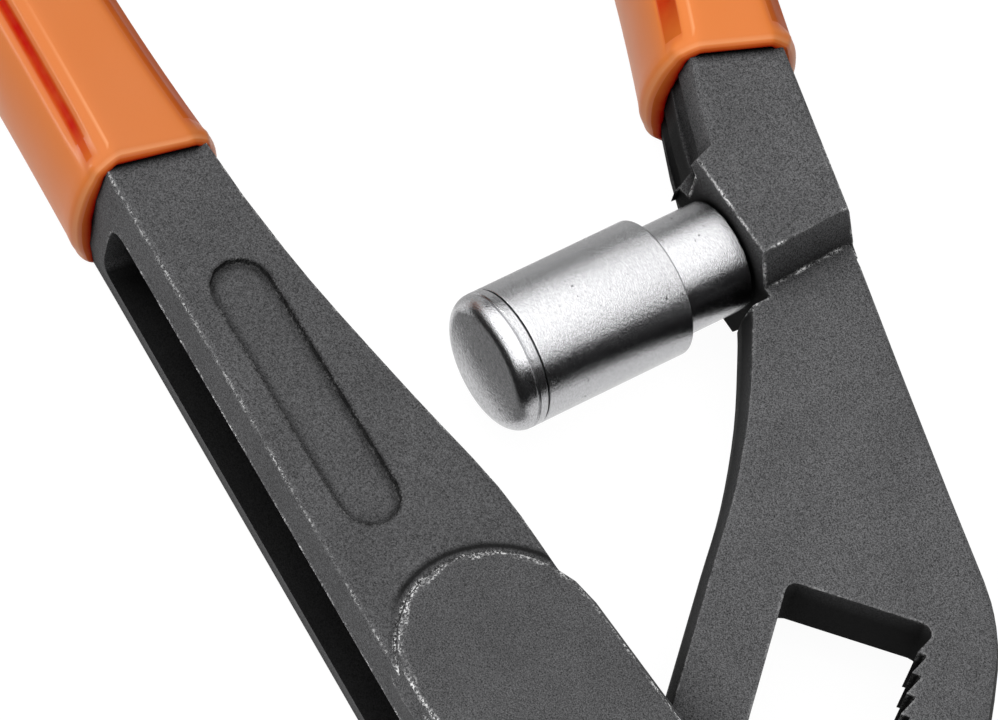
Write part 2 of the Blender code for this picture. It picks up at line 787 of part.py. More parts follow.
def grip_outline(start, width, side):
    """Plan of a grip from ahead of its rim to its round end."""
    inner, outer = tang_edges(start, width, side, grip_length, grip_taper_share)
    lead = grip_lead * grip_ahead(side)
    inner, outer = [inner[0] + lead] + inner, [outer[0] + lead] + outer
    if side < 0:
        return list(reversed(outer)) + inner + tang_tip(inner[-1], outer[-1])
    return list(reversed(inner)) + outer + tang_tip(outer[-1], inner[-1])


def grip_ahead(side):
    """The way a grip's rim faces."""
    return Vector((math.cos(handle_angle), side * -math.sin(handle_angle)))


def rim_block(name, start, side):
    """What trims the front of a grip square, from its rim onwards."""
    ahead = grip_ahead(side)
    across = Vector((-ahead.y, ahead.x))
    start = Vector(start)
    near, far, half = start, start + ahead * (grip_lead + overrun), handle_thickness
    outline = [near - across * half, far - across * half, far + across * half, near + across * half]
    return slab(name, outline, -handle_thickness, handle_thickness)


def build_grip(name, surface, start, width, side, hollow_outline):
    """A moulded grip, hollow from its rim for the tang of a handle."""
    outline = grip_outline(start, width, side)
    grip = forged_blank(name, outline, grip_half, grip_flat, grip_draft, grip_edge, 4)
    hollow = forged_blank(name + "_hollow", grown(hollow_outline, seat_gap), handle_half + seat_gap,
                          plate_half, draft, forged_edge)
    cut(grip, keep_cutter(hollow, mid_plane))
    cut(grip, keep_cutter(rim_block(name + "_rim", start, side), mid_plane))
    keep_piece(grip, surface, mid_plane)


def build_bolt():
    """The pivot bolt with its washer and clip, hollow for the pawl and the button."""
    steel = material("bolt_steel", (0.30, 0.30, 0.31), 0.35, 0.9)
    low_groove = clip_low - close_gap
    high_groove = clip_low + clip_thickness + close_gap
    core = bolt_radius - clip_groove
    profile = [(0, head_top), (bolt_head_radius - edge_chamfer, head_top),
               (bolt_head_radius, head_top - edge_chamfer), (bolt_head_radius, head_low),
               (bolt_radius, head_low), (bolt_radius, high_groove), (core, high_groove),
               (core, low_groove), (bolt_radius, low_groove),
               (bolt_radius, bolt_low + edge_chamfer), (bolt_radius - edge_chamfer, bolt_low), (0, bolt_low)]
    bolt = turning("pivot_bolt", profile)
    half = bolt_flat_half
    wide = bolt_radius + overrun
    flat = slab("bolt_flat", box_corners(-wide, wide, flat_across, wide), -half, half)
    side = pawl_stem_width / 2 + pawl_side_play
    pocket = slab("pawl_pocket", box_corners(-side, side, -pawl_stem_back - pawl_travel - pawl_play, wide),
                  -pawl_half - seat_gap, pawl_half + seat_gap)
    bore = turning("button_bore", cylinder(button_bore, pawl_half, head_top + overrun))
    groove = ring_turning("ring_groove", square_ring(button_bore - ring_groove, button_bore + ring_groove,
                                                     snap_height - ring_groove, snap_height + ring_groove))
    rear = turning("spring_bore", cylinder(spring_bore, bolt_low + bore_floor, -pawl_half))
    rear.location = (0, foot_across, 0)
    for tool in (flat, pocket, bore, groove, rear):
        cut(bolt, keep_cutter(tool, bolt_axis))
    for name, end in (("grip_side_pocket", -1), ("jaw_side_pocket", 1)):
        tool = turning(name, cylinder(pawl_pocket_radius, -bolt_pocket_depth, overrun), round_steps // 2)
        tool.location = (end * pawl_spring_offset, flat_across, 0)
        tool.rotation_euler = (-math.pi / 2, 0, 0)
        cut(bolt, keep_cutter(tool, bolt_axis))
    keep_piece(bolt, steel, bolt_axis)
    washer = ring_turning("bolt_washer", square_ring(bolt_radius + seat_gap, bolt_head_radius,
                                                     washer_low, washer_low + washer_thickness))
    keep_piece(washer, material("washer_steel", (0.36, 0.36, 0.37), 0.35, 0.9), bolt_axis)
    inner = arc((0, 0), core + close_gap, clip_opening, math.tau - clip_opening, 4 * arc_steps)
    outer = arc((0, 0), core + close_gap + clip_width, math.tau - clip_opening, clip_opening, 4 * arc_steps)
    clip = slab("bolt_circlip", inner + outer, clip_low, clip_low + clip_thickness)
    keep_piece(clip, material("clip_steel", (0.10, 0.10, 0.11), 0.35, 0.8), bolt_axis)


def box_corners(left, right, near, far):
    """A plan rectangle."""
    return [Vector((left, near)), Vector((right, near)), Vector((right, far)), Vector((left, far))]


def square_ring(inner, outer, low, high):
    """The closed profile of a ring with a rectangular section."""
    return [(inner, high), (outer, high), (outer, low), (inner, low)]


def sloped_bar(name, half_along, half_across, low, high):
    """A bar that leans back from the rack as it rises."""
    bar = slab(name, box_corners(-half_along, half_along, -half_across, half_across), low, high)
    lean = Matrix(((1, 0, 0, 0), (0, 1, -wedge_share, wedge_across), (0, 0, 1, 0), (0, 0, 0, 1)))
    bar.data.transform(lean)
    return bar


def build_pawl():
    """The toothed pawl and the two springs that push it into the rack."""
    half = pawl_head_width / 2
    stem = pawl_stem_width / 2
    teeth = [point for point in rack_teeth(-2 * half, 2 * half, close_gap, -seat_gap)
             if -half + edge_chamfer < point.x < half - edge_chamfer]
    low_side = ((-stem, -pawl_stem_back), (stem, -pawl_stem_back), (stem, pawl_head_back),
                (half, pawl_head_back), (half, rack_tip_across - seat_gap))
    far_side = ((-half, rack_tip_across - seat_gap), (-half, pawl_head_back), (-stem, pawl_head_back))
    outline = [Vector(p) for p in low_side] + list(reversed(teeth)) + [Vector(p) for p in far_side]
    pawl = slab("tooth_pawl", outline, -pawl_half, pawl_half)
    slot = sloped_bar("blade_slot", blade_width / 2 + seat_gap, blade_foot / 2 + seat_gap,
                      -pawl_half - overrun, pawl_half + overrun)
    cut(pawl, keep_cutter(slot, bolt_axis))
    surface = material("spring_wire", (0.38, 0.38, 0.39), 0.3, 0.9)
    rest = pawl_pocket_depth + pawl_head_back - flat_across - close_gap
    for side_name, end in (("grip_side", -1), ("jaw_side", 1)):
        place = (end * pawl_spring_offset, flat_across, 0)
        pocket = cylinder(pawl_pocket_radius, -overrun, rest + close_gap)
        tool = turning(side_name + "_seat", pocket, round_steps // 2)
        tool.location = place
        tool.rotation_euler = (-math.pi / 2, 0, 0)
        cut(pawl, keep_cutter(tool, bolt_axis))
        spring = coil("pawl_spring_" + side_name, pawl_coil_radius, pawl_wire,
                      close_gap - bolt_pocket_depth, rest, pawl_spring_turns)
        spring.location = place
        spring.rotation_euler = (-math.pi / 2, 0, 0)
        keep_piece(spring, surface, bolt_axis)
    keep_piece(pawl, material("pawl_steel", (0.22, 0.22, 0.23), 0.35, 0.9), bolt_axis)


def build_button():
    """The push button with its sloped blade, its snap ring and its spring."""
    steel = material("button_steel", (0.42, 0.42, 0.43), 0.3, 0.9)
    top = head_top + button_rise
    profile = [(0, top), (button_radius - 2 * button_dome, top), (button_radius, top - button_dome),
               (button_radius, flange_top), (flange_radius, flange_top), (flange_radius, flange_low),
               (0, flange_low)]
    button = turning("release_button", profile)
    foot = -pawl_half - close_gap
    blade = sloped_bar("button_blade", blade_width / 2, blade_foot / 2, foot, flange_low + seat_gap)
    tip = turning("button_tip", cylinder(tip_radius, foot - tip_length, foot + tip_length), round_steps // 2)
    tip.location = (0, foot_across, 0)
    for tool in (blade, tip):
        joined(button, keep_cutter(tool, bolt_axis))
    keep_piece(button, steel, bolt_axis)
    spring = coil("button_spring", button_coil_radius, button_wire, bolt_low + bore_floor + close_gap,
                  foot - close_gap, button_spring_turns)
    spring.location = (0, foot_across, 0)
    keep_piece(spring, material("button_spring_wire", (0.38, 0.38, 0.39), 0.3, 0.9), bolt_axis)
    ring = wire_ring("button_snap_ring", button_bore - snap_wire * snap_share, snap_wire, snap_height)
    keep_piece(ring, material("snap_ring_wire", (0.25, 0.25, 0.26), 0.3, 0.9), bolt_axis)


def wire_ring(name, radius, wire, height):
    """An open ring of round wire."""
    curve = bpy.data.curves.new(name, "CURVE")
    curve.dimensions = "3D"
    curve.bevel_depth = wire / 2
    curve.bevel_resolution = 1
    curve.use_fill_caps = True
    route = arc((0, 0), radius, ring_opening, math.tau - ring_opening, 5 * arc_steps)
    spline = curve.splines.new("POLY")
    spline.points.add(len(route) - 1)
    for spot, point in zip(spline.points, route):
        spot.co = (*point, height, 1)
    return mesh_from_curve(bpy.data.objects.new(name, curve))


def build_plunger():
    """The sprung handle stop: a stem in the handle and a capped sleeve sliding on it."""
    chrome = material("stem_steel", (0.40, 0.40, 0.42), 0.25, 0.9)
    low = -stem_root_length
    stem = turning("plunger_stem", [
        (0, stem_length), (stem_radius - edge_chamfer, stem_length),
        (stem_radius, stem_length - edge_chamfer),
        (stem_radius, ring_height + ring_seat), (ring_core, ring_height + ring_seat),
        (ring_core, ring_height - ring_seat), (stem_radius, ring_height - ring_seat),
        (stem_radius, seat_gap), (stem_root_radius, seat_gap), (stem_root_radius, low + edge_chamfer),
        (stem_root_radius - edge_chamfer, low), (0, low)])
    bore = turning("stem_bore", cylinder(stem_bore_radius, stem_bore_floor, stem_length + overrun))
    cut(stem, keep_cutter(bore, plunger_axis))
    hole = turning("stem_pin_hole", cylinder(pin_radius + seat_gap, -handle_thickness, pin_top + seat_gap))
    cut(stem, keep_cutter(hole, pin_axis))
    keep_piece(stem, chrome, plunger_axis)
    pin = turning("stem_lock_pin", chamfered(pin_radius, pin_low, pin_top, edge_chamfer), round_steps // 2)
    keep_piece(pin, material("pin_steel", (0.30, 0.30, 0.31), 0.35, 0.9), pin_axis)
    guide_end = sleeve_start + sleeve_guide
    wide_bore = sleeve_radius - sleeve_wall
    narrow_bore = stem_radius + slide_gap
    sleeve = ring_turning("plunger_sleeve", [
        (wide_bore, sleeve_end), (sleeve_radius - edge_chamfer, sleeve_end),
        (sleeve_radius, sleeve_end - edge_chamfer), (sleeve_radius, sleeve_start + edge_chamfer),
        (sleeve_radius - edge_chamfer, sleeve_start), (narrow_bore, sleeve_start),
        (narrow_bore, guide_end), (wide_bore, guide_end)])
    keep_piece(sleeve, material("sleeve_steel", (0.40, 0.40, 0.42), 0.25, 0.9), plunger_axis)
    seat = sleeve_end + cap_seat
    tip = sleeve_end + cap_height
    rim = sleeve_radius - cap_edge
    round_over = [tuple(p) for p in reversed(arc((rim, tip - cap_edge), cap_edge, 0, math.pi / 2))]
    plug = wide_bore - seat_gap
    cap = turning("plunger_cap", [(0, tip + cap_dome)] + round_over + [
        (sleeve_radius, seat), (plug, seat), (plug, sleeve_end - cap_plug), (0, sleeve_end - cap_plug)])
    keep_piece(cap, material("cap_steel", (0.42, 0.42, 0.44), 0.3, 0.9), plunger_axis)
    spring = coil("plunger_spring", plunger_spring_radius, plunger_wire, stem_bore_floor + close_gap,
                  sleeve_end - cap_plug - close_gap, plunger_spring_turns)
    keep_piece(spring, material("plunger_spring_wire", (0.38, 0.38, 0.39), 0.3, 0.9), plunger_axis)
    ring_radius = stem_radius + ring_reach - ring_wire / 2
    ring = wire_ring("plunger_retaining_ring", ring_radius, ring_wire, ring_height)
    keep_piece(ring, material("retaining_ring_wire", (0.25, 0.25, 0.26), 0.3, 0.9), plunger_axis)


for old in list(bpy.data.objects):
    bpy.data.objects.remove(old)

parts = collection("pipe_pliers")
cutters = collection("cutters")
cutters.hide_render = True

mid_plane = empty("mid_plane", (0, 0, grip_half))
bolt_axis = empty("bolt_axis", (0, 0, 0), (0, 0, slot_angle), mid_plane)
plunger_axis = empty("plunger_axis", (*flat_point(plunger_seat_shares), 0),
                     (math.pi / 2, 0, plunger_angle + math.pi / 2), mid_plane)
plunger_way = Vector((math.cos(plunger_angle), math.sin(plunger_angle)))
pin_place = flat_point(plunger_seat_shares) - pin_depth * plunger_way
pin_axis = empty("pin_axis", (*pin_place, 0), (0, 0, pin_turn), mid_plane)

build_box_member()
build_rack_member()
orange = (0.75, 0.20, 0.06)
box_plastic = material("box_grip_plastic", orange, 0.3, 0.0)
rack_plastic = material("rack_grip_plastic", orange, 0.3, 0.0)
build_grip("box_handle_grip", box_plastic, flat_point(box_grip_start_share), box_grip_width, -1,
           box_outline())
build_grip("rack_handle_grip", rack_plastic, flat_point(rack_grip_start_share), rack_grip_width, 1,
           rack_handle_outline())
build_bolt()
build_pawl()
build_button()
build_plunger()
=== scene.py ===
"""Looks for the box joint pipe pliers: forged steel, moulded grips and turned steel on a pale stage."""

import math

import bmesh
import bpy
from bpy.props import FloatProperty, FloatVectorProperty, PointerProperty
from mathutils import Matrix, Vector


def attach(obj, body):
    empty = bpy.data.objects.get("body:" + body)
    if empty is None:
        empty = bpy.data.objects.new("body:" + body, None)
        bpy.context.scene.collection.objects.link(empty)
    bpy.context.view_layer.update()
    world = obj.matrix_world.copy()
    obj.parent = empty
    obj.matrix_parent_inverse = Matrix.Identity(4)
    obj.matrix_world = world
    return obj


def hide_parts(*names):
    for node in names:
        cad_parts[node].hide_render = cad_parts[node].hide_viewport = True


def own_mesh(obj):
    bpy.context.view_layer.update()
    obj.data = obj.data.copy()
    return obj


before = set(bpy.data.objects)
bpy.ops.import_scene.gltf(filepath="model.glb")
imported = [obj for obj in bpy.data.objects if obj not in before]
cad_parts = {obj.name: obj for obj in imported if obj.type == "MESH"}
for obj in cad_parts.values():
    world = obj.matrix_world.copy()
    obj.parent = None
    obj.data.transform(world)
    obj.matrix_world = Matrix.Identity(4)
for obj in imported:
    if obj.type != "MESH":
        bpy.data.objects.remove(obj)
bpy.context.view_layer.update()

bl_info = {
    "name": "Pipe Pliers Looks",
    "version": (1, 0, 0),
    "blender": (4, 5, 0),
    "location": "3D View > Sidebar > Pliers",
    "description": "Dresses the packed pipe pliers and sets the stage they are shown on",
    "category": "Object",
}

MM = 0.001
BLACK = (0.0, 0.0, 0.0, 1.0)
WHITE = (1.0, 1.0, 1.0, 1.0)
FALLING = (1.0, 0.0)
QUARTER = math.pi / 2
UP = Vector((0, 0, 1))

# The plunger's axis in plan, from its seat in the rack handle towards the box handle
MID_HEIGHT = 7.7 * MM
PLUNGER_SEAT = Vector((-63.6 * MM, 25.68 * MM, MID_HEIGHT))
PLUNGER_ANGLE = math.radians(-79.2)
PLUNGER_WAY = Vector((math.cos(PLUNGER_ANGLE), math.sin(PLUNGER_ANGLE), 0))

# How CAD pieces are joined up and rounded at their crisp edges
BEVEL_WELD = 0.06 * MM
PLAIN_WELD = 0.01 * MM
EDGE_ANGLE = math.radians(32)
EDGE_SEGMENTS = 2
FLAT_WEIGHT = 80
RACK_EDGE = 0.10 * MM
BOLT_EDGE = 0.1 * MM
BUTTON_EDGE = 0.15 * MM
PAWL_EDGE = 0.05 * MM
CLIP_EDGE = 0.08 * MM

# The grips' rims in plan, and the shape that their handles share
BOX_GRIP_START = Vector((-82.48 * MM, -18.32 * MM))
RACK_GRIP_START = Vector((-78.56 * MM, 31.8 * MM))
BOX_TANG_HALF = 4.95 * MM
RACK_TANG_HALF = 4.55 * MM
HANDLE_ANGLE = math.radians(9.5)
HANDLE_BEND = math.radians(11.0)
SWELL_SHARE = 0.10
TAPER_SHARE = 0.10
FLARE_SHARE = 0.2
GRIP_STEPS = 60
GRIP_END_STEPS = 12

# A grip's wall and shoulder in section, as millimetres in from its side and up from its middle
GRIP_WALL = ((0, 0), (0.02, 0.8), (0.1, 1.8), (0.26, 2.8), (0.46, 3.7), (0.68, 4.4), (0.86, 4.85),
             (1.02, 5.2))
GRIP_SHOULDER = ((2.35, 7.02), (2.62, 7.2), (2.92, 7.38), (3.14, 7.5), (3.3, 7.56), (3.6, 7.6), (4.0, 7.62))
GROOVE_STEPS = 12
GROOVE_ROUNDING = 1.5
GROOVE_FULLNESS = 1.4
GROOVE_WAY = (0.8, -0.6)
PANEL_STEPS = 6

# The tang that a grip closes up to: its top, its draft, and how its upper corner is cut
TANG_TOP = 6.72 * MM
DRAFT = 0.6 * MM
DRAFT_FULLNESS = 1.15
TANG_CORNER = 0.9 * MM
TANG_CORNER_FROM = 0.86

# How far each rim stands forward: everywhere, more towards the outer side, and more towards the back
BOX_RIM_LEAN = (0.0, 1.2 * MM, 1.2 * MM)
RACK_RIM_LEAN = (0.6 * MM, 0.0, 0.2 * MM)

# The opening and the roll of a rim: share of the way in to the tang, and place behind the rim
RIM_OPENING = ((1.0, -3 * MM), (1.0, -0.5 * MM), (0.97, -0.16 * MM), (0.88, -0.03 * MM))
RIM_ROLL_SHARE = 0.8
RIM_ROLL_STEPS = 9

# How fast the painted shade deepens the orange from the roll into the opening, and from where
OPENING_SHARPNESS = 1.6
OPENING_START = 0.3

# The painted highlight, a pale line on a rim's lip: where it lies on the roll, how wide and how strong it is
LIP_MIDDLE = 0.17
LIP_WIDTH = 0.12
LIP_STRENGTH = 0.28

# Behind the rim: how much of its lean stays, over how many steps it fades, and how soon the groove is full
LEAN_KEPT = 0.6
LEAN_STEPS = 8
GROOVE_GROWTH_STEPS = 3

# How sharply each grip's line of painted shade narrows, and how deep its colour goes
BOX_LINE = (3.5, 1.0)
RACK_LINE = (0.35, 0.8)

# The painted highlight on the crest beside a grip's line near its rim, then the fainter line of painted shade
# on its far side
CREST_STRENGTH = 0.35
CREST_INSET = 3.14 * MM
CREST_WIDTH = 0.05 * MM
CREST_STEPS = 10
FAR_GROOVE_SHARE = 0.25
FAR_LINE_STRENGTH = 0.40
FAR_LINE_SHARPNESS = 1.8
FAR_LINE_INSET = 1.9 * MM
FAR_LINE_WIDTH = 1.5 * MM

# The stem's bore and spigot, the sleeve's bore and the cap's plug, dome and fine ring
STEM_BORE_DEPTH = 6 * MM
SPIGOT_RADIUS = 3.6 * MM
SPIGOT_DEPTH = 6 * MM
STEM_FOOT = 0.3 * MM
BROKEN_EDGE = 0.25 * MM
SLEEVE_CLEARANCE = 0.35 * MM
SLEEVE_WALL = 0.5 * MM
SLEEVE_LAND = 2.6 * MM
CAP_GAP = 0.12 * MM
CAP_FIT = 0.3 * MM
CAP_PLUG_DEPTH = 1.5 * MM
CAP_DOME = 0.15 * MM
CAP_SHOULDER = 0.11 * MM
CAP_ROUND_END = 0.12
CAP_ROUND_STEPS = 12
CAP_RING = ((0.10 * MM, 0.02 * MM), (0.12 * MM, 0.06 * MM), (0.0, 0.16 * MM))

# How finely pieces are turned and rounded, when their corners join, and from what angle their edges are sharp
LATHE_STEPS = 128
ROUND_STEPS = 6
ON_AXIS = 1e-7
GRIP_WELD = 0.002 * MM
LATHE_SHARP = math.radians(30)
GRIP_SHARP = math.radians(50)

# Strips in plan where the edges are kept free of wear and, on the box's panel, darkened by painted shade;
# each as middle, way, half length and half width
PANEL = (Vector((-58.32 * MM, -14.34 * MM, 0)), Vector((0.9903, 0.139, 0)), 13.4 * MM, 2.9 * MM)
STEP = (Vector((-60.85 * MM, 31.6 * MM, 0)), Vector((-0.23, 0.973, 0)), 2.6 * MM, 0.5 * MM)
STRIP_FADE = 0.5 * MM

# The middle of the raised pad's round end, and the bounds of the painted shade that runs round it as a dark
# crease
PAD_END = Vector((-32.08 * MM, -7.70 * MM, 0))
CREASE_INNER = (8.9 * MM, 9.15 * MM)
CREASE_OUTER = (9.35 * MM, 9.75 * MM)
CREASE_ACROSS = (-15.5 * MM, -13.5 * MM)
CREASE_FOOT = (14.0 * MM, 14.1 * MM)
CREASE_TOP = (14.3 * MM, 14.5 * MM)

# Heights over which wear begins, the painted shade on the walls fades out, the painted shade on the channel's
# floor ends and the pad's rim begins
WEAR_HEIGHTS = (8 * MM, 10 * MM)
WALL_HEIGHTS = (8.5 * MM, 14 * MM)
FLOOR_HEIGHTS = (5.5 * MM, 8 * MM)
RIM_HEIGHTS = (14.25 * MM, 14.4 * MM)

# How far a face looks up: where the pad's rim slopes and is level again, and what is upward or upright
SLOPE_BEGINS = (0.84, 0.88)
SLOPE_ENDS = (0.95, 0.985)
UPWARD = (0.5, 0.8)
UPRIGHT = (0.45, 0.75)

# How each forging is worn and given painted shade: where wear lies along the pliers, how strong each painted
# shade is, and the painted light that lightens its whole colour
BOX_LOOK = {
    "rubbed_from": 0.50, "rim_wear": 0.8, "worn_start": (-200 * MM, -199 * MM),
    "worn_end": (90 * MM, 91 * MM), "open_range": (0.60, 0.84), "foot_shade": 0.0, "floor_shade": 0.9,
    "pad_shade": 0.88, "calm": PANEL, "calm_shade": 0.92, "painted_lift": 1.02, "gloss": 0.08,
}
RACK_LOOK = {
    "rubbed_from": 0.46, "rim_wear": 0.0, "worn_start": (-70.8 * MM, -68.8 * MM),
    "worn_end": (-58 * MM, -52 * MM), "open_range": (0.46, 0.92), "foot_shade": 0.94, "floor_shade": 0.0,
    "pad_shade": 0.0, "calm": STEP, "calm_shade": 0.0, "painted_lift": 1.28, "gloss": 0.03,
}

# The forgings' noises, each as grains to a metre, detail and roughness
FORGED_GRAIN = (8200, 2.0, 0.8)
FORGED_BLOTCH = (160, 3.0, 0.55)
BARE_SPECKS = (4800, 2.0, 0.75)
WORN_PATCHES = (700, 2.0, 0.6)

# Ranges of those noises, and the tones, strengths and depths that they turn into
MIDDLE_RANGE = (0.3, 0.7)
GRAIN_RANGE = (0.32, 0.68)
GRAIN_TONES = (0.08, 0.92)
BLOTCH_TONES = (0.90, 1.10)
SPECK_SOFTNESS = 0.06
PATCH_RANGE = (0.42, 0.58)
PATCH_STRENGTHS = (0.15, 1.0)
FORGED_ROUGHNESS = (0.54, 0.72)
BLOTCH_RELIEF = (0.10 * MM, 0.5)
GRAIN_RELIEF = (0.05 * MM, 0.8)

# Wear: how sharp an edge is, its strength past the worn end, and what strips and crease take away
EDGE_RANGE = (0.006, 0.07)
WORN_END_STRENGTHS = (1.0, 0.25)
CALM_SHARE = 0.85
BARE_METAL = 0.5

# How far painted shade reaches out of slots and out of corners, and how dark it gets there
SLOT_REACH = 7 * MM
SLOT_TONES = (0.02, 1.0)
CORNER_REACH = 0.9 * MM
CORNER_RANGE = (0.58, 0.94)
CORNER_TONES = (0.08, 1.0)

# The grips' noises, the painted shade in their hollows, gloss and depths
PLASTIC_FLOW = (90, 3.0, 0.5)
PLASTIC_FINE = (1800, 2.0, 0.6)
LINE_STREAKS = (260, 3.0, 0.6)
STREAK_RANGE = (0.35, 0.6)
STREAK_SHARES = (0.75, 1.0)
HOLLOW_REACH = 1.6 * MM
HOLLOW_RANGE = (0.40, 0.92)
PLASTIC_ROUGHNESS = (0.34, 0.44)
FLOW_RELIEF = (0.22 * MM, 0.5)
FINE_RELIEF = (0.006 * MM, 0.6)
GLOW_WEIGHT = 0.06
GLOW_REACH = (0.0012, 0.0005, 0.0002)
LINE_FROM = 0.2
LINE_GLOSS = 0.02
GRIP_GLOSS = 0.3
# Painted light: the rack's grip is the same plastic made lighter as a whole
BOX_GRIP_PAINTED_LIFT = 1.0
RACK_GRIP_PAINTED_LIFT = 1.16

# How many tries a look round an edge or into a hollow takes
NEAR_SAMPLES = 6

# The turned steel's noises: fine and wide turning marks, smudges, pits and a grain drawn out along the axis
TURNING_FINE = (14000, 2.0, 0.7)
TURNING_WIDE = (2200, 2.0, 0.5)
STEEL_SMUDGE = (420, 4.0, 0.6)
STEEL_PITS = (1700, 2.0, 0.6)
STEEL_GRAIN = (3600, 2.0, 0.75)
GRAIN_STRETCH = 3.0

# The turned steel's tones and roughness, and its reliefs as times the marks' size and strength
TURNING_TONES = (0.90, 1.0)
TURNING_DARK = 0.55
TURNING_ROUGHNESS = (0.0, 0.05)
SMUDGE_SHARES = (0.8, 1.25)
PIT_RANGE = (0.70, 0.76)
PIT_SHARE = 0.7
PIT_COLOUR = (0.03, 0.03, 0.03, 1.0)
SPECKLE_RANGE = (0.36, 0.60)
SPECKLE_COLOUR = (0.05, 0.05, 0.05, 1.0)
WIDE_RELIEF = (2.6, 0.9)
FINE_MARKS_RELIEF = (1.4, 1.0)
DRAWN_RELIEF = (12, 1.0)

# Each turned piece's marks and speckle, and its roughness as a share of the steel's
SLEEVE_TURNING = (0.004, 0.22)
CAP_TURNING = (0.0022, 0.3)
STEM_TURNING = (0.003, 0.22)
PLAIN_MARKS = 0.004
WIRE_MARKS = 0.002
SLEEVE_ROUGHNESS_SHARE = 0.65
CAP_ROUGHNESS_SHARE = 1.1
WIRE_ROUGHNESS = 0.3

# The pale floor: its reach, how far it lies below the pliers, its grey for light, its white when seen
FLOOR_REACH = 3.0
FLOOR_LEVEL = -0.2 * MM
FLOOR_GREY = (0.10, 0.10, 0.10, 1.0)
FLOOR_WHITE = 0.95
FLOOR_ROUGHNESS = 0.9

# The lamps: the key lamp's way as shares of the view's back, top and right, and each one's size and reach
KEY_WAY = (0.92, 0.38, -0.14)
KEY_SIZE = 2.6
SIDE_SIZE = 0.12
SIDE_REACH = 0.9
SIDE_RISE = 0.02

# The board in front that gloss sees as black: its way as shares of the view's right and top, and its size
BOARD_WAY = (0.39, -0.92)
BOARD_REACH = 0.5
BOARD_WIDTH = 1.6
BOARD_HEIGHT = 0.5

# Cards that only gloss sees: one under the cap's end, a dark sheet that paints shade on the floor there into
# the cap's reflection, and one beside the sleeve with a black stripe above it
CARD_LEVEL = 0.1 * MM
CAP_CARD_AHEAD = 26 * MM
CAP_CARD_DEPTH = 15 * MM
CAP_CARD_WIDTH = 26 * MM
CAP_CARD_LIGHT = 0.25
SLEEVE_CARD_BEHIND = 8 * MM
SLEEVE_CARD_ASIDE = 12 * MM
SLEEVE_CARD_LENGTH = 32 * MM
SLEEVE_CARD_HEIGHT = 14.6 * MM
SLEEVE_CARD_LIGHT = 0.60
STRIPE_HEIGHT = 3 * MM
CARD_COLOUR = (0.02, 0.02, 0.02, 1.0)

# The photograph's centre on the mid plane of the pliers, and how they are turned in plan under the camera
VIEW_CENTRE = Vector((-59.57 * MM, 4.156 * MM, MID_HEIGHT))
PLAN_TURN = math.radians(-52.0)
SENSOR_WIDTH = 36
NEAREST_SEEN = 0.01


def linear(red, green, blue):
    """A colour given as screen values from 0 to 255, as the numbers a shader takes."""
    def one(value):
        share = value / 255
        return share / 12.92 if share <= 0.04045 else ((share + 0.055) / 1.055) ** 2.4
    return (one(red), one(green), one(blue), 1.0)


# The steels round the pivot, each as name, colour and roughness
PIVOT_STEELS = (
    ("bolt_steel", linear(150, 150, 152), 0.30),
    ("button_steel", linear(196, 196, 198), 0.22),
    ("clip_steel", linear(70, 70, 72), 0.35),
    ("spring_steel", linear(170, 170, 172), 0.28),
)


class PLIERS_PG_stage(bpy.types.PropertyGroup):
    """The camera and the light."""
    distance: FloatProperty(name="Distance", description="From the camera to the view's middle", default=0.6,
                            min=0.1, unit="LENGTH")
    lens: FloatProperty(name="Lens", description="Focal length on a 36 mm wide sensor", default=267.3, min=10,
                        subtype="DISTANCE_CAMERA")
    tilt: FloatProperty(name="Tilt", description="How far the camera leans from straight above",
                        default=math.radians(31.3), subtype="ANGLE")
    roll: FloatProperty(name="Roll", description="Turn of the picture about the view's axis",
                        default=math.radians(18.6), subtype="ANGLE")
    world_light: FloatProperty(name="World light", description="Strength of light from all round",
                               default=0.03, min=0)
    key_light: FloatProperty(name="Key light", description="Power of the large soft lamp", default=36.0,
                             min=0, subtype="POWER")
    side_light: FloatProperty(name="Side light", description="Power of the lamp at the side", default=2.6,
                              min=0, subtype="POWER")


class PLIERS_PG_forging(bpy.types.PropertyGroup):
    """The black forgings."""
    colour: FloatVectorProperty(name="Black", description="Colour of the phosphate coat",
                                default=linear(78, 78, 79), size=4, subtype="COLOR")
    worn: FloatVectorProperty(name="Worn", description="Bare steel that shows through on edges",
                              default=linear(225, 225, 225), size=4, subtype="COLOR")
    edge: FloatProperty(name="Edge", description="Rounding of the crisp edges", default=0.22 * MM, min=0,
                        unit="LENGTH")
    wear_reach: FloatProperty(name="Wear reach", description="How far wear runs in from an edge",
                              default=0.5 * MM, min=0, unit="LENGTH")


class PLIERS_PG_grip(bpy.types.PropertyGroup):
    """The moulded grips."""
    colour: FloatVectorProperty(name="Orange", description="Colour of the plastic",
                                default=linear(203, 111, 44), size=4, subtype="COLOR")
    # The deep orange is painted shade, laid in the grips' hollows, lines and far sides and under the rim
    deep: FloatVectorProperty(name="Deep orange", description="Colour in hollows and under the rim",
                              default=linear(172, 6, 0), size=4, subtype="COLOR")
    # The pale orange of the painted highlights on the grips' crests and lips
    wear_and_painted_highlight: FloatVectorProperty(name="Rubbed orange", description="Colour of its rubbed crests",
                                default=linear(250, 190, 140), size=4, subtype="COLOR")
    width: FloatProperty(name="Width", description="Across a grip in plan", default=11.4 * MM, unit="LENGTH")
    length: FloatProperty(name="Length", description="Of a grip along its middle", default=108 * MM,
                          unit="LENGTH")
    flare: FloatProperty(name="Flare", description="Widening of each side towards the rim", default=0.85 * MM,
                         unit="LENGTH")
    groove: FloatProperty(name="Groove", description="Depth of the line beside the top panel",
                          default=0.24 * MM, min=0, unit="LENGTH")
    rim_round: FloatProperty(name="Rim fullness", description="How far the rim's corners swell",
                             default=0.25 * MM, min=0, unit="LENGTH")
    rim: FloatProperty(name="Rim", description="Rounding of the front rim", default=1.3 * MM, min=0,
                       unit="LENGTH")


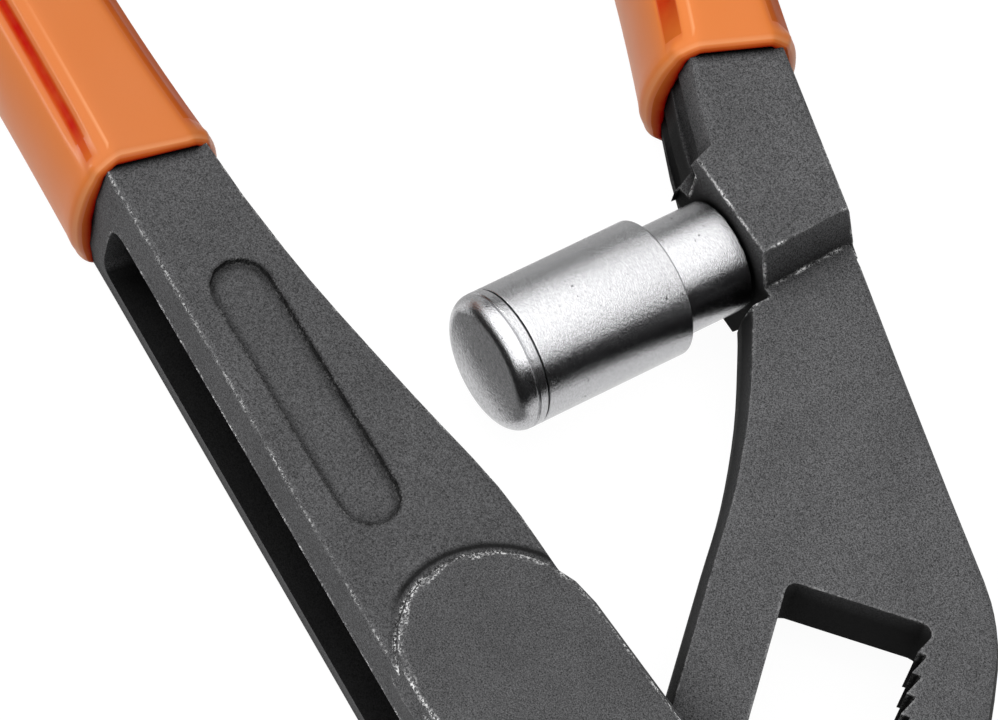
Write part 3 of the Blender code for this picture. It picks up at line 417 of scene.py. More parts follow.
class PLIERS_PG_plunger(bpy.types.PropertyGroup):
    """The sprung handle stop."""
    steel: FloatVectorProperty(name="Steel", description="Colour of the turned steel",
                               default=linear(190, 190, 192), size=4, subtype="COLOR")
    roughness: FloatProperty(name="Roughness", description="Roughness of the turned steel", default=0.16,
                             min=0, max=1)
    stem_radius: FloatProperty(name="Stem radius", description="Radius of the stem", default=4.85 * MM,
                               unit="LENGTH")
    stem_length: FloatProperty(name="Stem length", description="From the seat to the stem's end",
                               default=12.6 * MM, unit="LENGTH")
    stem_bore: FloatProperty(name="Stem bore", description="Radius of the spring's bore", default=3.3 * MM,
                             unit="LENGTH")
    sleeve_radius: FloatProperty(name="Sleeve radius", description="Outer radius of the sleeve",
                                 default=6.0 * MM, unit="LENGTH")
    sleeve_start: FloatProperty(name="Sleeve start", description="From the seat to its rear edge",
                                default=6.8 * MM, unit="LENGTH")
    sleeve_end: FloatProperty(name="Sleeve end", description="From the seat to the line of the cap",
                              default=21.0 * MM, unit="LENGTH")
    cap_height: FloatProperty(name="Cap height", description="Height of the cap beyond the sleeve",
                              default=2.5 * MM, unit="LENGTH")
    cap_edge: FloatProperty(name="Cap edge", description="Rounding of the cap's rim", default=1.5 * MM,
                            unit="LENGTH")
    line_depth: FloatProperty(name="Line depth", description="Depth of the cap's line", default=0.12 * MM,
                              unit="LENGTH")


class Surface:
    """A material under construction: short calls for the nodes that the finishes share."""

    def __init__(self, name):
        self.material = bpy.data.materials.new(name)
        self.material.use_nodes = True
        self.nodes = self.material.node_tree.nodes
        self.shader = self.nodes["Principled BSDF"]
        self.place = self.add("ShaderNodeTexCoord").outputs["Object"]

    def add(self, kind, **settings):
        """A node with its settings."""
        node = self.nodes.new(kind)
        for key, value in settings.items():
            setattr(node, key, value)
        return node

    def link(self, source, target):
        """Joins an output to an input."""
        self.material.node_tree.links.new(source, target)

    def feed(self, socket, value):
        """Sets a socket to a number, a colour or another node's output."""
        if isinstance(value, bpy.types.NodeSocket):
            self.link(value, socket)
        else:
            socket.default_value = value

    def math(self, operation, first, second=0.0):
        """One sum."""
        node = self.add("ShaderNodeMath", operation=operation)
        self.feed(node.inputs[0], first)
        self.feed(node.inputs[1], second)
        return node.outputs[0]

    def times(self, first, *others):
        """All the values multiplied together."""
        for value in others:
            first = self.math("MULTIPLY", first, value)
        return first

    def rest(self, share):
        """What a share leaves of 1."""
        return self.math("SUBTRACT", 1.0, share)

    def split(self, vector):
        """The three parts of a vector."""
        node = self.add("ShaderNodeSeparateXYZ")
        self.link(vector, node.inputs[0])
        return node.outputs[0], node.outputs[1], node.outputs[2]

    def reach_along(self, way):
        """How far a point lies along a way."""
        node = self.add("ShaderNodeVectorMath", operation="DOT_PRODUCT")
        self.link(self.place, node.inputs[0])
        node.inputs[1].default_value = way
        return node.outputs["Value"]

    def noise(self, scale, detail, roughness, place=None):
        """Noise from 0 to 1 whose grains are one over the scale wide, in metres."""
        node = self.add("ShaderNodeTexNoise")
        node.inputs["Scale"].default_value = scale
        node.inputs["Detail"].default_value = detail
        node.inputs["Roughness"].default_value = roughness
        self.link(place or self.place, node.inputs["Vector"])
        return node.outputs["Fac"]

    def ramp(self, value, low, high, low_result=0.0, high_result=1.0):
        """A straight ramp of a value, held at both ends."""
        node = self.add("ShaderNodeMapRange")
        self.feed(node.inputs["Value"], value)
        limits = {"From Min": low, "From Max": high, "To Min": low_result, "To Max": high_result}
        for key, number in limits.items():
            self.feed(node.inputs[key], number)
        return node.outputs[0]

    def mix(self, share, first, second):
        """A mix of two colours."""
        node = self.add("ShaderNodeMix", data_type="RGBA")
        self.feed(node.inputs[0], share)
        self.feed(node.inputs[6], first)
        self.feed(node.inputs[7], second)
        return node.outputs[2]

    def bump(self, height, distance, strength, below=None):
        """A bump of that depth, in metres, over an earlier one."""
        node = self.add("ShaderNodeBump")
        self.feed(node.inputs["Height"], height)
        self.feed(node.inputs["Distance"], distance)
        self.feed(node.inputs["Strength"], strength)
        if below:
            self.link(below, node.inputs["Normal"])
        return node.outputs["Normal"]

    def edges(self, reach):
        """How near a point is to an edge: 0 on a flat face, rising along a rounded edge."""
        soft = self.add("ShaderNodeBevel", samples=NEAR_SAMPLES)
        soft.inputs["Radius"].default_value = reach
        true = self.add("ShaderNodeNewGeometry")
        both = self.add("ShaderNodeVectorMath", operation="DOT_PRODUCT")
        self.link(soft.outputs["Normal"], both.inputs[0])
        self.link(true.outputs["Normal"], both.inputs[1])
        return self.rest(both.outputs["Value"])

    def hollows(self, reach):
        """How open a point is: 1 in the open and falling to 0 deep in a slot."""
        node = self.add("ShaderNodeAmbientOcclusion", samples=NEAR_SAMPLES)
        node.inputs["Distance"].default_value = reach
        return node.outputs["AO"]

    def strip(self, middle, way, half_length, half_width):
        """1 within a strip in plan about a middle, and 0 outside it."""
        shares = []
        for axis, half in ((way, half_length), (Vector((-way.y, way.x, 0)), half_width)):
            away = self.math("ABSOLUTE", self.math("SUBTRACT", self.reach_along(axis), middle.dot(axis)))
            shares.append(self.ramp(away, half, half + STRIP_FADE, *FALLING))
        return self.times(*shares)

    def finish(self, **values):
        """Sets the shader's sockets."""
        for key, value in values.items():
            self.feed(self.shader.inputs[key.replace("_", " ")], value)
        return self.material


def pad_crease(s, along, across, height, shade):
    """The painted shade in the crease round the pad's end, as strong as the shade."""
    flat = s.add("ShaderNodeCombineXYZ")
    s.link(along, flat.inputs[0])
    s.link(across, flat.inputs[1])
    from_pad = s.add("ShaderNodeVectorMath", operation="DISTANCE")
    s.link(flat.outputs[0], from_pad.inputs[0])
    from_pad.inputs[1].default_value = PAD_END
    away = from_pad.outputs["Value"]
    return s.times(s.ramp(away, *CREASE_INNER), s.ramp(away, *CREASE_OUTER, shade, 0.0),
                   s.ramp(height, *CREASE_TOP, *FALLING), s.ramp(height, *CREASE_FOOT),
                   s.ramp(across, *CREASE_ACROSS))


def forged_black(name, settings, look):
    """Phosphated forging: a fine grain, bare specks along its edges, and painted shade in its slots, corners,
    creases, walls and channel floor.
    """
    s = Surface(name)
    along, across, height = s.split(s.place)
    facing = s.split(s.add("ShaderNodeNewGeometry").outputs["Normal"])[2]
    grain = s.noise(*FORGED_GRAIN)
    blotch = s.noise(*FORGED_BLOTCH)
    edge = s.ramp(s.edges(settings.wear_reach), *EDGE_RANGE)
    rim = s.times(s.ramp(facing, *SLOPE_BEGINS), s.ramp(facing, *SLOPE_ENDS, *FALLING),
                  s.ramp(height, *RIM_HEIGHTS))
    # Painted shade in the crease round the pad's end
    crease = pad_crease(s, along, across, height, look["pad_shade"])
    calm = s.strip(*look["calm"])
    wear_and_painted_highlight = s.times(s.ramp(s.noise(*BARE_SPECKS), look["rubbed_from"], look["rubbed_from"] + SPECK_SOFTNESS),
                     s.ramp(s.noise(*WORN_PATCHES), *PATCH_RANGE, *PATCH_STRENGTHS))
    worn = s.times(s.math("MAXIMUM", edge, s.times(rim, look["rim_wear"])), wear_and_painted_highlight,
                   s.ramp(height, *WEAR_HEIGHTS), s.ramp(along, *look["worn_start"]),
                   s.ramp(along, *look["worn_end"], *WORN_END_STRENGTHS))
    for kept in (calm, crease):
        worn = s.times(worn, s.rest(s.times(kept, CALM_SHARE)))
    # Painted shade: the tone darkens where slots and corners close a point in
    tone = s.times(s.ramp(grain, *GRAIN_RANGE, *GRAIN_TONES), s.ramp(blotch, *MIDDLE_RANGE, *BLOTCH_TONES),
                   s.ramp(s.hollows(SLOT_REACH), *look["open_range"], *SLOT_TONES),
                   s.ramp(s.hollows(CORNER_REACH), *CORNER_RANGE, *CORNER_TONES))
    upward = s.ramp(facing, *UPWARD)
    upright = s.ramp(s.math("ABSOLUTE", facing), *UPRIGHT, *FALLING)
    # Painted shade at the foot of the walls and on the channel's floor
    wall = s.times(upright, s.ramp(height, *WALL_HEIGHTS, look["foot_shade"], 0.0))
    floor = s.times(upward, s.ramp(height, *FLOOR_HEIGHTS, look["floor_shade"], 0.0))
    # Each painted shade takes its share off the tone, the panel's edges among them
    for shade in (wall, floor, s.times(calm, edge, look["calm_shade"]), crease):
        tone = s.times(tone, s.rest(shade))
    # Twice the colour, because the grain's middle tone is a half, lifted by the painted light that lightens
    # this whole forging
    light = tuple(2 * look["painted_lift"] * c for c in settings.colour[:3]) + (1.0,)
    colour = s.mix(worn, s.mix(tone, BLACK, light), tuple(settings.worn))
    normal = s.bump(grain, *GRAIN_RELIEF, s.bump(blotch, *BLOTCH_RELIEF))
    return s.finish(Base_Color=colour, Roughness=s.ramp(grain, *MIDDLE_RANGE, *FORGED_ROUGHNESS),
                    Metallic=s.times(worn, BARE_METAL), Specular_IOR_Level=look["gloss"], Normal=normal)


def moulded_orange(name, settings, gloss, painted_lift=1.0):
    """Grip plastic, with painted shade as deeper orange in its lines and hollows, painted highlights as paler
    orange on its crests and lips, and faint flow marks.
    """
    s = Surface(name)
    flow = s.noise(*PLASTIC_FLOW)
    # Painted shade: deeper orange where a point is closed in
    hollow = s.ramp(s.hollows(HOLLOW_REACH), *HOLLOW_RANGE, *FALLING)
    # The groove attribute: painted shade along the lines above 0, painted highlight on crests and lips below
    # 0
    lines = s.add("ShaderNodeAttribute", attribute_name="groove").outputs["Fac"]
    wear_and_painted_highlight = s.times(s.math("MINIMUM", lines, 0.0), -1.0)
    streaks = s.ramp(s.noise(*LINE_STREAKS), *STREAK_RANGE, *STREAK_SHARES)
    orange = tuple(painted_lift * c for c in settings.colour[:3]) + (1.0,)
    colour = s.mix(s.math("MAXIMUM", hollow, s.times(lines, streaks)), orange, tuple(settings.deep))
    # Painted highlight: paler orange on the crests and lips
    colour = s.mix(wear_and_painted_highlight, colour, tuple(settings.wear_and_painted_highlight))
    normal = s.bump(s.noise(*PLASTIC_FINE), *FINE_RELIEF, s.bump(flow, *FLOW_RELIEF))
    return s.finish(Base_Color=colour, Roughness=s.ramp(flow, *MIDDLE_RANGE, *PLASTIC_ROUGHNESS),
                    Specular_IOR_Level=gloss, Subsurface_Weight=GLOW_WEIGHT, Subsurface_Radius=GLOW_REACH,
                    Subsurface_Scale=1.0, Normal=normal)


def turned_steel(name, colour, roughness, way, marks=PLAIN_MARKS, speckle=0.0):
    """Bright steel with turning marks round the given way, their size in millimetres, and a dark speckle."""
    s = Surface(name)
    along = s.reach_along(way)
    line = s.add("ShaderNodeCombineXYZ")
    s.link(along, line.inputs[0])
    stretch = s.add("ShaderNodeVectorMath", operation="SCALE")
    stretch.inputs[0].default_value = way
    s.link(s.times(along, GRAIN_STRETCH), stretch.inputs["Scale"])
    drawn = s.add("ShaderNodeVectorMath", operation="ADD")
    s.link(s.place, drawn.inputs[0])
    s.link(stretch.outputs[0], drawn.inputs[1])
    fine = s.noise(*TURNING_FINE, line.outputs[0])
    wide = s.noise(*TURNING_WIDE, line.outputs[0])
    grain = s.noise(*STEEL_GRAIN, drawn.outputs[0])
    dark = tuple(TURNING_DARK * c for c in colour[:3]) + (1.0,)
    shade = s.mix(s.ramp(fine, *MIDDLE_RANGE, *TURNING_TONES), dark, colour)
    shade = s.mix(s.ramp(grain, *SPECKLE_RANGE, speckle, 0.0), shade, SPECKLE_COLOUR)
    shade = s.mix(s.times(s.ramp(s.noise(*STEEL_PITS), *PIT_RANGE), PIT_SHARE), shade, PIT_COLOUR)
    smudge = s.ramp(s.noise(*STEEL_SMUDGE), *MIDDLE_RANGE, *(roughness * share for share in SMUDGE_SHARES))
    rough = s.math("ADD", smudge, s.ramp(fine, *MIDDLE_RANGE, *TURNING_ROUGHNESS))
    normal = None
    for height, (depth, strength) in ((wide, WIDE_RELIEF), (fine, FINE_MARKS_RELIEF), (grain, DRAWN_RELIEF)):
        normal = s.bump(height, marks * depth * MM, strength, normal)
    return s.finish(Base_Color=shade, Roughness=rough, Metallic=1.0, Normal=normal)


def smooth_cad(node, material, width):
    """Gives a CAD node its finish and softens its crisp edges by modifiers alone."""
    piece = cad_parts[node]
    piece.data.materials.clear()
    piece.data.materials.append(material)
    for face in piece.data.polygons:
        face.use_smooth = True
    weld = piece.modifiers.new("weld", "WELD")
    weld.merge_threshold = BEVEL_WELD if width else PLAIN_WELD
    if width:
        bevel = piece.modifiers.new("edge", "BEVEL")
        bevel.width = width
        bevel.segments = EDGE_SEGMENTS
        bevel.limit_method = "ANGLE"
        bevel.angle_limit = EDGE_ANGLE
        bevel.harden_normals = True
        bevel.miter_outer = "MITER_ARC"
    normals = piece.modifiers.new("normals", "WEIGHTED_NORMAL")
    normals.keep_sharp = True
    normals.weight = FLAT_WEIGHT


def linked(name, data):
    """A new object in the scene."""
    made = bpy.data.objects.new(name, data)
    bpy.context.scene.collection.objects.link(made)
    return made


def join_corners(mesh, distance):
    """Joins corners that lie within a distance, and turns every face outwards."""
    build = bmesh.new()
    build.from_mesh(mesh)
    bmesh.ops.remove_doubles(build, verts=build.verts, dist=distance)
    bmesh.ops.recalc_face_normals(build, faces=build.faces)
    build.to_mesh(mesh)
    build.free()


def sprung(node, body, material):
    """A spring on its body in place of the rigid one, with its corners joined, its finish and its own mesh.
    """
    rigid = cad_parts[node]
    mesh = rigid.data.copy()
    join_corners(mesh, PLAIN_WELD)
    mesh.materials.clear()
    mesh.materials.append(material)
    mesh.shade_smooth()
    spring = linked(node + "_visible", mesh)
    spring.matrix_world = rigid.matrix_world
    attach(spring, body)
    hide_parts(node)
    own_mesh(spring)


def lathe(name, profile, material):
    """A turned piece on the plunger's axis; the profile holds radius and distance pairs, closed on itself."""
    mesh = bpy.data.meshes.new(name)
    build = bmesh.new()
    turns = [math.tau * i / LATHE_STEPS for i in range(LATHE_STEPS)]
    rings = []
    for radius, along in profile:
        if radius < ON_AXIS:
            rings.append([build.verts.new((0, 0, along))])
            continue
        places = [(radius * math.cos(turn), radius * math.sin(turn), along) for turn in turns]
        rings.append([build.verts.new(place) for place in places])
    for lower, upper in zip(rings, rings[1:] + rings[:1]):
        for i in range(LATHE_STEPS):
            j = (i + 1) % LATHE_STEPS
            corners = [lower[i % len(lower)], lower[j % len(lower)]]
            corners += [upper[j % len(upper)], upper[i % len(upper)]]
            kept = list(dict.fromkeys(corners))
            if len(kept) > 2:
                build.faces.new(kept)
    bmesh.ops.recalc_face_normals(build, faces=build.faces)
    turn = UP.rotation_difference(PLUNGER_WAY).to_matrix().to_4x4()
    bmesh.ops.transform(build, matrix=Matrix.Translation(PLUNGER_SEAT) @ turn, verts=build.verts)
    build.to_mesh(mesh)
    build.free()
    mesh.materials.append(material)
    mesh.shade_smooth()
    mesh.set_sharp_from_angle(angle=LATHE_SHARP)
    return linked(name, mesh)


def rounded(corner, radius, start, end, steps=ROUND_STEPS):
    """Points of a quarter turn in a lathe profile about a centre."""
    turns = [start + (end - start) * i / steps for i in range(steps + 1)]
    return [(corner[0] + radius * math.cos(turn), corner[1] + radius * math.sin(turn)) for turn in turns]


class PLIERS_OT_forgings(bpy.types.Operator):
    """Finish the box member and the rack member"""
    bl_idname = "pliers.forgings"
    bl_label = "Forgings"

    def execute(self, context):
        settings = context.scene.pliers_forging
        smooth_cad("box_member", forged_black("box_black", settings, BOX_LOOK), settings.edge)
        smooth_cad("rack_member", forged_black("rack_black", settings, RACK_LOOK), RACK_EDGE)
        return {"FINISHED"}


def grip_stations(settings, start, side):
    """Middle, heading and half width along a grip, from its rim to where its round end begins."""
    place, stations = Vector(start), []
    for i in range(GRIP_STEPS + 1):
        share = i / GRIP_STEPS
        heading = math.pi - side * (HANDLE_ANGLE - HANDLE_BEND * share)
        ahead = Vector((math.cos(heading), math.sin(heading)))
        if i:
            place = place + ahead * (settings.length / GRIP_STEPS)
        half = settings.width / 2 * (1 + SWELL_SHARE * math.sin(math.pi * share) - TAPER_SHARE * share)
        half += settings.flare * max(0.0, 1 - share / FLARE_SHARE) ** 2
        stations.append((place, ahead, half))
    return stations


def grip_section(depth, narrow=1.0):
    """Inset, height and groove share of points up a grip's wall, over its groove and on to the top panel."""
    foot, crest = GRIP_WALL[-1], GRIP_SHOULDER[0]
    points = [(inset * MM, height * MM, 0.0) for inset, height in GRIP_WALL]
    for i in range(1, GROOVE_STEPS):
        share = i / GROOVE_STEPS
        rise = math.sin(math.pi * share)
        dip = depth * rise ** GROOVE_ROUNDING
        inset = (foot[0] + (crest[0] - foot[0]) * share) * MM + dip * GROOVE_WAY[0]
        height = (foot[1] + (crest[1] - foot[1]) * share) * MM + dip * GROOVE_WAY[1]
        points.append((inset, height, min(1.0, GROOVE_FULLNESS * rise ** narrow)))
    return points + [(inset * MM, height * MM, 0.0) for inset, height in GRIP_SHOULDER]


def round_section(section, far=None):
    """A half section taken all the way round: side, inset, height and groove share of each point."""
    inset, height = section[-1][:2]
    upper = [(1, *point) for point in section]
    upper += [(1 - 2 * i / PANEL_STEPS, inset, height, 0.0) for i in range(1, PANEL_STEPS)]
    upper += [(-1, *point) for point in reversed(far or section)]
    return upper + [(side, inset, -height, groove) for side, inset, height, groove in reversed(upper[1:-1])]


def grip_loop(place, ahead, half, points, turn=0.0):
    """One closed loop round a grip; the turn runs over its round end from 0 to a quarter."""
    across = Vector((-ahead.y, ahead.x))
    loop = []
    for side, inset, height, groove in points:
        reach = max(half - inset, 0.0)
        flat = place + across * (side * reach * math.cos(turn)) + ahead * (reach * math.sin(turn))
        loop.append(Vector((flat.x, flat.y, MID_HEIGHT + height)))
    return loop


def tang_section(section, gap):
    """The section's points brought in to just clear of the tang."""
    top = section[-1][1]
    points = []
    for inset, height, groove in section:
        rise = height / top
        corner = TANG_CORNER * max(rise - TANG_CORNER_FROM, 0) / (1 - TANG_CORNER_FROM)
        points.append((gap + DRAFT * min(DRAFT_FULLNESS * rise, 1) + corner, rise * TANG_TOP, groove))
    return points


def line_share(point, strength, near_rim):
    """How deep the painted shade makes the orange at a point of the section, or below 0 how strong the
    painted highlight is.
    """
    side, inset, height, groove = point
    if side > 0:
        on_crest = height > 0 and abs(inset - CREST_INSET) < CREST_WIDTH
        return groove * strength - (CREST_STRENGTH * near_rim if on_crest else 0.0)
    far_line = max(0.0, 1 - abs(inset - FAR_LINE_INSET) / FAR_LINE_WIDTH)
    return FAR_LINE_STRENGTH * min(1.0, FAR_LINE_SHARPNESS * far_line)


def rim_ways(points, top, side, lean):
    """How far each point of a rim stands forward."""
    ways = []
    for across, inset, height, groove in points:
        ways.append(lean[0] + lean[1] * (1 + side * across) / 2 + lean[2] * (1 - height / top) / 2)
    return ways


def rim_steps(rim):
    """The opening and the roll: share of the way in to the tang, and place behind the rim."""
    steps = list(RIM_OPENING)
    for i in range(RIM_ROLL_STEPS + 1):
        turn = QUARTER * i / RIM_ROLL_STEPS
        steps.append((RIM_ROLL_SHARE * (1 - math.sin(turn)), rim * (math.cos(turn) - 1)))
    return steps


def lip_share(blend):
    """How deep the painted shade makes the orange at a step of the rim, or below 0 how strong the painted
    highlight on its lip is.
    """
    pale = max(0.0, 1 - abs(blend - LIP_MIDDLE) / LIP_WIDTH)
    return min(1.0, max(0.0, OPENING_SHARPNESS * blend - OPENING_START)) - LIP_STRENGTH * pale


def grip_loops(settings, start, side, tang_half, lean, line):
    """The loops of a grip from its opening to its round end, and the share of painted shade, or below 0 of
    painted highlight, at every point.
    """
    stations = grip_stations(settings, start, side)
    section = grip_section(-settings.rim_round)
    points = round_section(section)
    place, ahead, half = stations[0]
    outer = grip_loop(place, ahead, half, points)
    inner = grip_loop(place, ahead, half, round_section(tang_section(section, half - tang_half)))
    front = Vector((-ahead.x, -ahead.y, 0))
    ways = rim_ways(points, section[-1][1], side, lean)
    loops, deep = [], []
    for blend, back in rim_steps(settings.rim):
        loops.append([o.lerp(n, blend) + front * (way + back) for o, n, way in zip(outer, inner, ways)])
        deep.append([lip_share(blend)] * len(points))
    for i, (place, ahead, half) in enumerate(stations[1:]):
        front = Vector((-ahead.x, -ahead.y, 0))
        kept = LEAN_KEPT * max(0.0, 1 - (i + 1) / LEAN_STEPS) ** 2
        grown = min(1.0, (i + 1) / GROOVE_GROWTH_STEPS)
        depth = -settings.rim_round + (settings.groove + settings.rim_round) * grown
        points = round_section(grip_section(depth, line[0]), grip_section(depth * FAR_GROOVE_SHARE, line[0]))
        loop = grip_loop(place, ahead, half, points)
        loops.append([point + front * (way * kept) for point, way in zip(loop, ways)])
        near_rim = max(0.0, 1 - i / CREST_STEPS)
        deep.append([line_share(point, line[1] * grown, near_rim) for point in points])
    for i in range(1, GRIP_END_STEPS + 1):
        loops.append(grip_loop(place, ahead, half, points, QUARTER * i / GRIP_END_STEPS))
        deep.append(deep[-1])
    return loops, deep


def visible_grip(name, loops, deep, materials):
    """A skin over a grip's loops that keeps its shares of painted shade and painted highlight, with the
    second material in deep lines.
    """
    mesh = bpy.data.meshes.new(name)
    count = len(loops[0])
    faces = []
    for i in range(len(loops) - 1):
        for j in range(count):
            k = (j + 1) % count
            faces.append((i * count + j, i * count + k, (i + 1) * count + k, (i + 1) * count + j))
    mesh.from_pydata([point for loop in loops for point in loop], [], faces)
    # Each point's share of painted shade, or below 0 of painted highlight
    groove = mesh.attributes.new("groove", "FLOAT", "POINT")
    groove.data.foreach_set("value", [share for row in deep for share in row])
    join_corners(mesh, GRIP_WELD)
    for material in materials:
        mesh.materials.append(material)
    mesh.shade_smooth()
    mesh.set_sharp_from_angle(angle=GRIP_SHARP)
    shares = mesh.attributes["groove"].data
    for face in mesh.polygons:
        face.material_index = int(min(shares[i].value for i in face.vertices) > LINE_FROM)
    return linked(name, mesh)


class PLIERS_OT_grips(bpy.types.Operator):
    """Finish the two moulded grips"""
    bl_idname = "pliers.grips"
    bl_label = "Grips"

    def execute(self, context):
        settings = context.scene.pliers_grip
        line_orange = moulded_orange("grip_line_orange", settings, LINE_GLOSS)
        grips = (
            ("box_grip_visible", "box_handle_grip", "box", BOX_GRIP_START, -1, BOX_TANG_HALF,
             BOX_RIM_LEAN, BOX_LINE, BOX_GRIP_PAINTED_LIFT),
            ("rack_grip_visible", "rack_handle_grip", "rack", RACK_GRIP_START, 1, RACK_TANG_HALF,
             RACK_RIM_LEAN, RACK_LINE, RACK_GRIP_PAINTED_LIFT),
        )
        for name, node, body, start, side, tang_half, lean, line, painted_lift in grips:
            # Each grip gets its own copy of the plastic, the rack's lightened by painted light
            orange = moulded_orange(body + "_grip_orange", settings, GRIP_GLOSS, painted_lift)
            loops, deep = grip_loops(settings, start, side, tang_half, lean, line)
            grip = visible_grip(name, loops, deep, (orange, line_orange))
            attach(grip, body)
            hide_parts(node)
        return {"FINISHED"}


def stem_profile(p):
    """The stem in section: the spring's bore, the broken edge, the side and the spigot in the handle."""
    top, low = p.stem_length, STEM_FOOT - SPIGOT_DEPTH
    return ([(0, top - STEM_BORE_DEPTH), (p.stem_bore, top - STEM_BORE_DEPTH), (p.stem_bore, top)]
            + rounded((p.stem_radius - BROKEN_EDGE, top - BROKEN_EDGE), BROKEN_EDGE, QUARTER, 0)
            + [(p.stem_radius, STEM_FOOT), (SPIGOT_RADIUS, STEM_FOOT), (SPIGOT_RADIUS, low), (0, low)])


def sleeve_profile(p):
    """The sleeve in section: the edge beside the cap, the side, the broken edge and the land on the stem."""
    inner, wide = p.stem_radius + SLEEVE_CLEARANCE, p.sleeve_radius - SLEEVE_WALL
    low, top, groove = p.sleeve_start, p.sleeve_end, p.sleeve_radius - p.line_depth
    return ([(wide, top), (groove, top)]
            + rounded((groove, top - p.line_depth), p.line_depth, QUARTER, 0)[1:]
            + rounded((p.sleeve_radius - BROKEN_EDGE, low + BROKEN_EDGE), BROKEN_EDGE, 0, -QUARTER)
            + [(inner, low), (inner, low + SLEEVE_LAND), (wide, low + SLEEVE_LAND)])


def cap_profile(p):
    """The cap in section: low dome, round rim, fine ring, the edge beside the sleeve and the plug."""
    tip, seat, low = p.sleeve_end + p.cap_height, p.sleeve_end + CAP_GAP, p.sleeve_end - CAP_PLUG_DEPTH
    plug, flat = p.sleeve_radius - SLEEVE_WALL - CAP_FIT, p.sleeve_radius - p.cap_edge
    rim = tip - p.cap_edge
    return ([(0, tip + CAP_DOME), (flat / 2, tip + CAP_SHOULDER)]
            + rounded((flat, rim), p.cap_edge, QUARTER, CAP_ROUND_END, CAP_ROUND_STEPS)
            + [(p.sleeve_radius - depth, rim - below) for depth, below in CAP_RING]
            + rounded((p.sleeve_radius - p.line_depth, seat + p.line_depth), p.line_depth, 0, -QUARTER)
            + [(plug, seat), (plug, low), (0, low)])


class PLIERS_OT_plunger(bpy.types.Operator):
    """Build the stem, the sleeve and the cap of the sprung handle stop"""
    bl_idname = "pliers.plunger"
    bl_label = "Handle stop"

    def execute(self, context):
        p = context.scene.pliers_plunger
        steel, rough = tuple(p.steel), p.roughness
        stem = lathe("stem_visible", stem_profile(p),
                     turned_steel("stem_steel", steel, rough, PLUNGER_WAY, *STEM_TURNING))
        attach(stem, "rack")
        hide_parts("plunger_stem")
        sleeve_rough = rough * SLEEVE_ROUGHNESS_SHARE
        sleeve = lathe("sleeve_visible", sleeve_profile(p),
                       turned_steel("sleeve_steel", steel, sleeve_rough, PLUNGER_WAY, *SLEEVE_TURNING))
        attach(sleeve, "plunger")
        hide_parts("plunger_sleeve")
        cap = lathe("cap_visible", cap_profile(p),
                    turned_steel("cap_steel", steel, rough * CAP_ROUGHNESS_SHARE, PLUNGER_WAY, *CAP_TURNING))
        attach(cap, "plunger")
        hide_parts("plunger_cap")
        wire = turned_steel("wire_steel", steel, WIRE_ROUGHNESS, UP, WIRE_MARKS)
        sprung("plunger_spring", "rack", wire)
        for node in ("plunger_retaining_ring", "stem_lock_pin"):
            smooth_cad(node, wire, 0)
        return {"FINISHED"}


class PLIERS_OT_pivot(bpy.types.Operator):
    """Finish the pivot bolt with its washer, clip, button, pawl and springs"""
    bl_idname = "pliers.pivot"
    bl_label = "Pivot"

    def execute(self, context):
        bolt, button, clip, wire = (turned_steel(name, colour, rough, UP)
                                    for name, colour, rough in PIVOT_STEELS)
        for node in ("pivot_bolt", "bolt_washer"):
            smooth_cad(node, bolt, BOLT_EDGE)
        smooth_cad("release_button", button, BUTTON_EDGE)
        smooth_cad("tooth_pawl", clip, PAWL_EDGE)
        smooth_cad("bolt_circlip", clip, CLIP_EDGE)
        smooth_cad("button_snap_ring", wire, 0)
        sprung("button_spring", "bolt", wire)
        for node in ("pawl_spring_grip_side", "pawl_spring_jaw_side"):
            sprung(node, "bolt", wire)
        return {"FINISHED"}


def in_row(across, up, out):
    """A direction given in the photograph's table axes, turned into the pliers' axes."""
    c, s = math.cos(PLAN_TURN), math.sin(PLAN_TURN)
    return Vector((across * c + up * s, -across * s + up * c, out))


def straight_rays(tree):
    """1 for a ray that shows white behind the pliers: from the camera, off a gloss or through glass."""
    rays = tree.nodes.new("ShaderNodeLightPath")
    seen = rays.outputs["Is Camera Ray"]
    for kind in ("Is Glossy Ray", "Is Transmission Ray"):
        either = tree.nodes.new("ShaderNodeMath")
        either.operation = "MAXIMUM"
        tree.links.new(seen, either.inputs[0])
        tree.links.new(rays.outputs[kind], either.inputs[1])
        seen = either.outputs[0]
    return seen


def lay_floor():
    """A plain white floor that shows white to the camera and in gloss, and still takes a shadow."""
    s = Surface("pale_floor")
    white = s.times(straight_rays(s.material.node_tree), FLOOR_WHITE)
    s.finish(Base_Color=FLOOR_GREY, Roughness=FLOOR_ROUGHNESS, Specular_IOR_Level=0.0, Emission_Color=WHITE,
             Emission_Strength=white)
    mesh = bpy.data.meshes.new("floor")
    signs = ((-1, -1), (1, -1), (1, 1), (-1, 1))
    mesh.from_pydata([(FLOOR_REACH * x, FLOOR_REACH * y, FLOOR_LEVEL) for x, y in signs], [], [(0, 1, 2, 3)])
    mesh.materials.append(s.material)
    floor = linked("floor", mesh)


def white_world(strength):
    """A world that lights weakly from all round and shows white behind the pliers."""
    world = bpy.data.worlds.new("studio")
    world.use_nodes = True
    tree = world.node_tree
    plain, seen = tree.nodes["Background"], tree.nodes.new("ShaderNodeBackground")
    for background in (plain, seen):
        background.inputs["Color"].default_value = WHITE
    plain.inputs["Strength"].default_value = strength
    mix = tree.nodes.new("ShaderNodeMixShader")
    tree.links.new(straight_rays(tree), mix.inputs[0])
    tree.links.new(plain.outputs[0], mix.inputs[1])
    tree.links.new(seen.outputs[0], mix.inputs[2])
    tree.links.new(mix.outputs[0], tree.nodes["World Output"].inputs["Surface"])
    return world


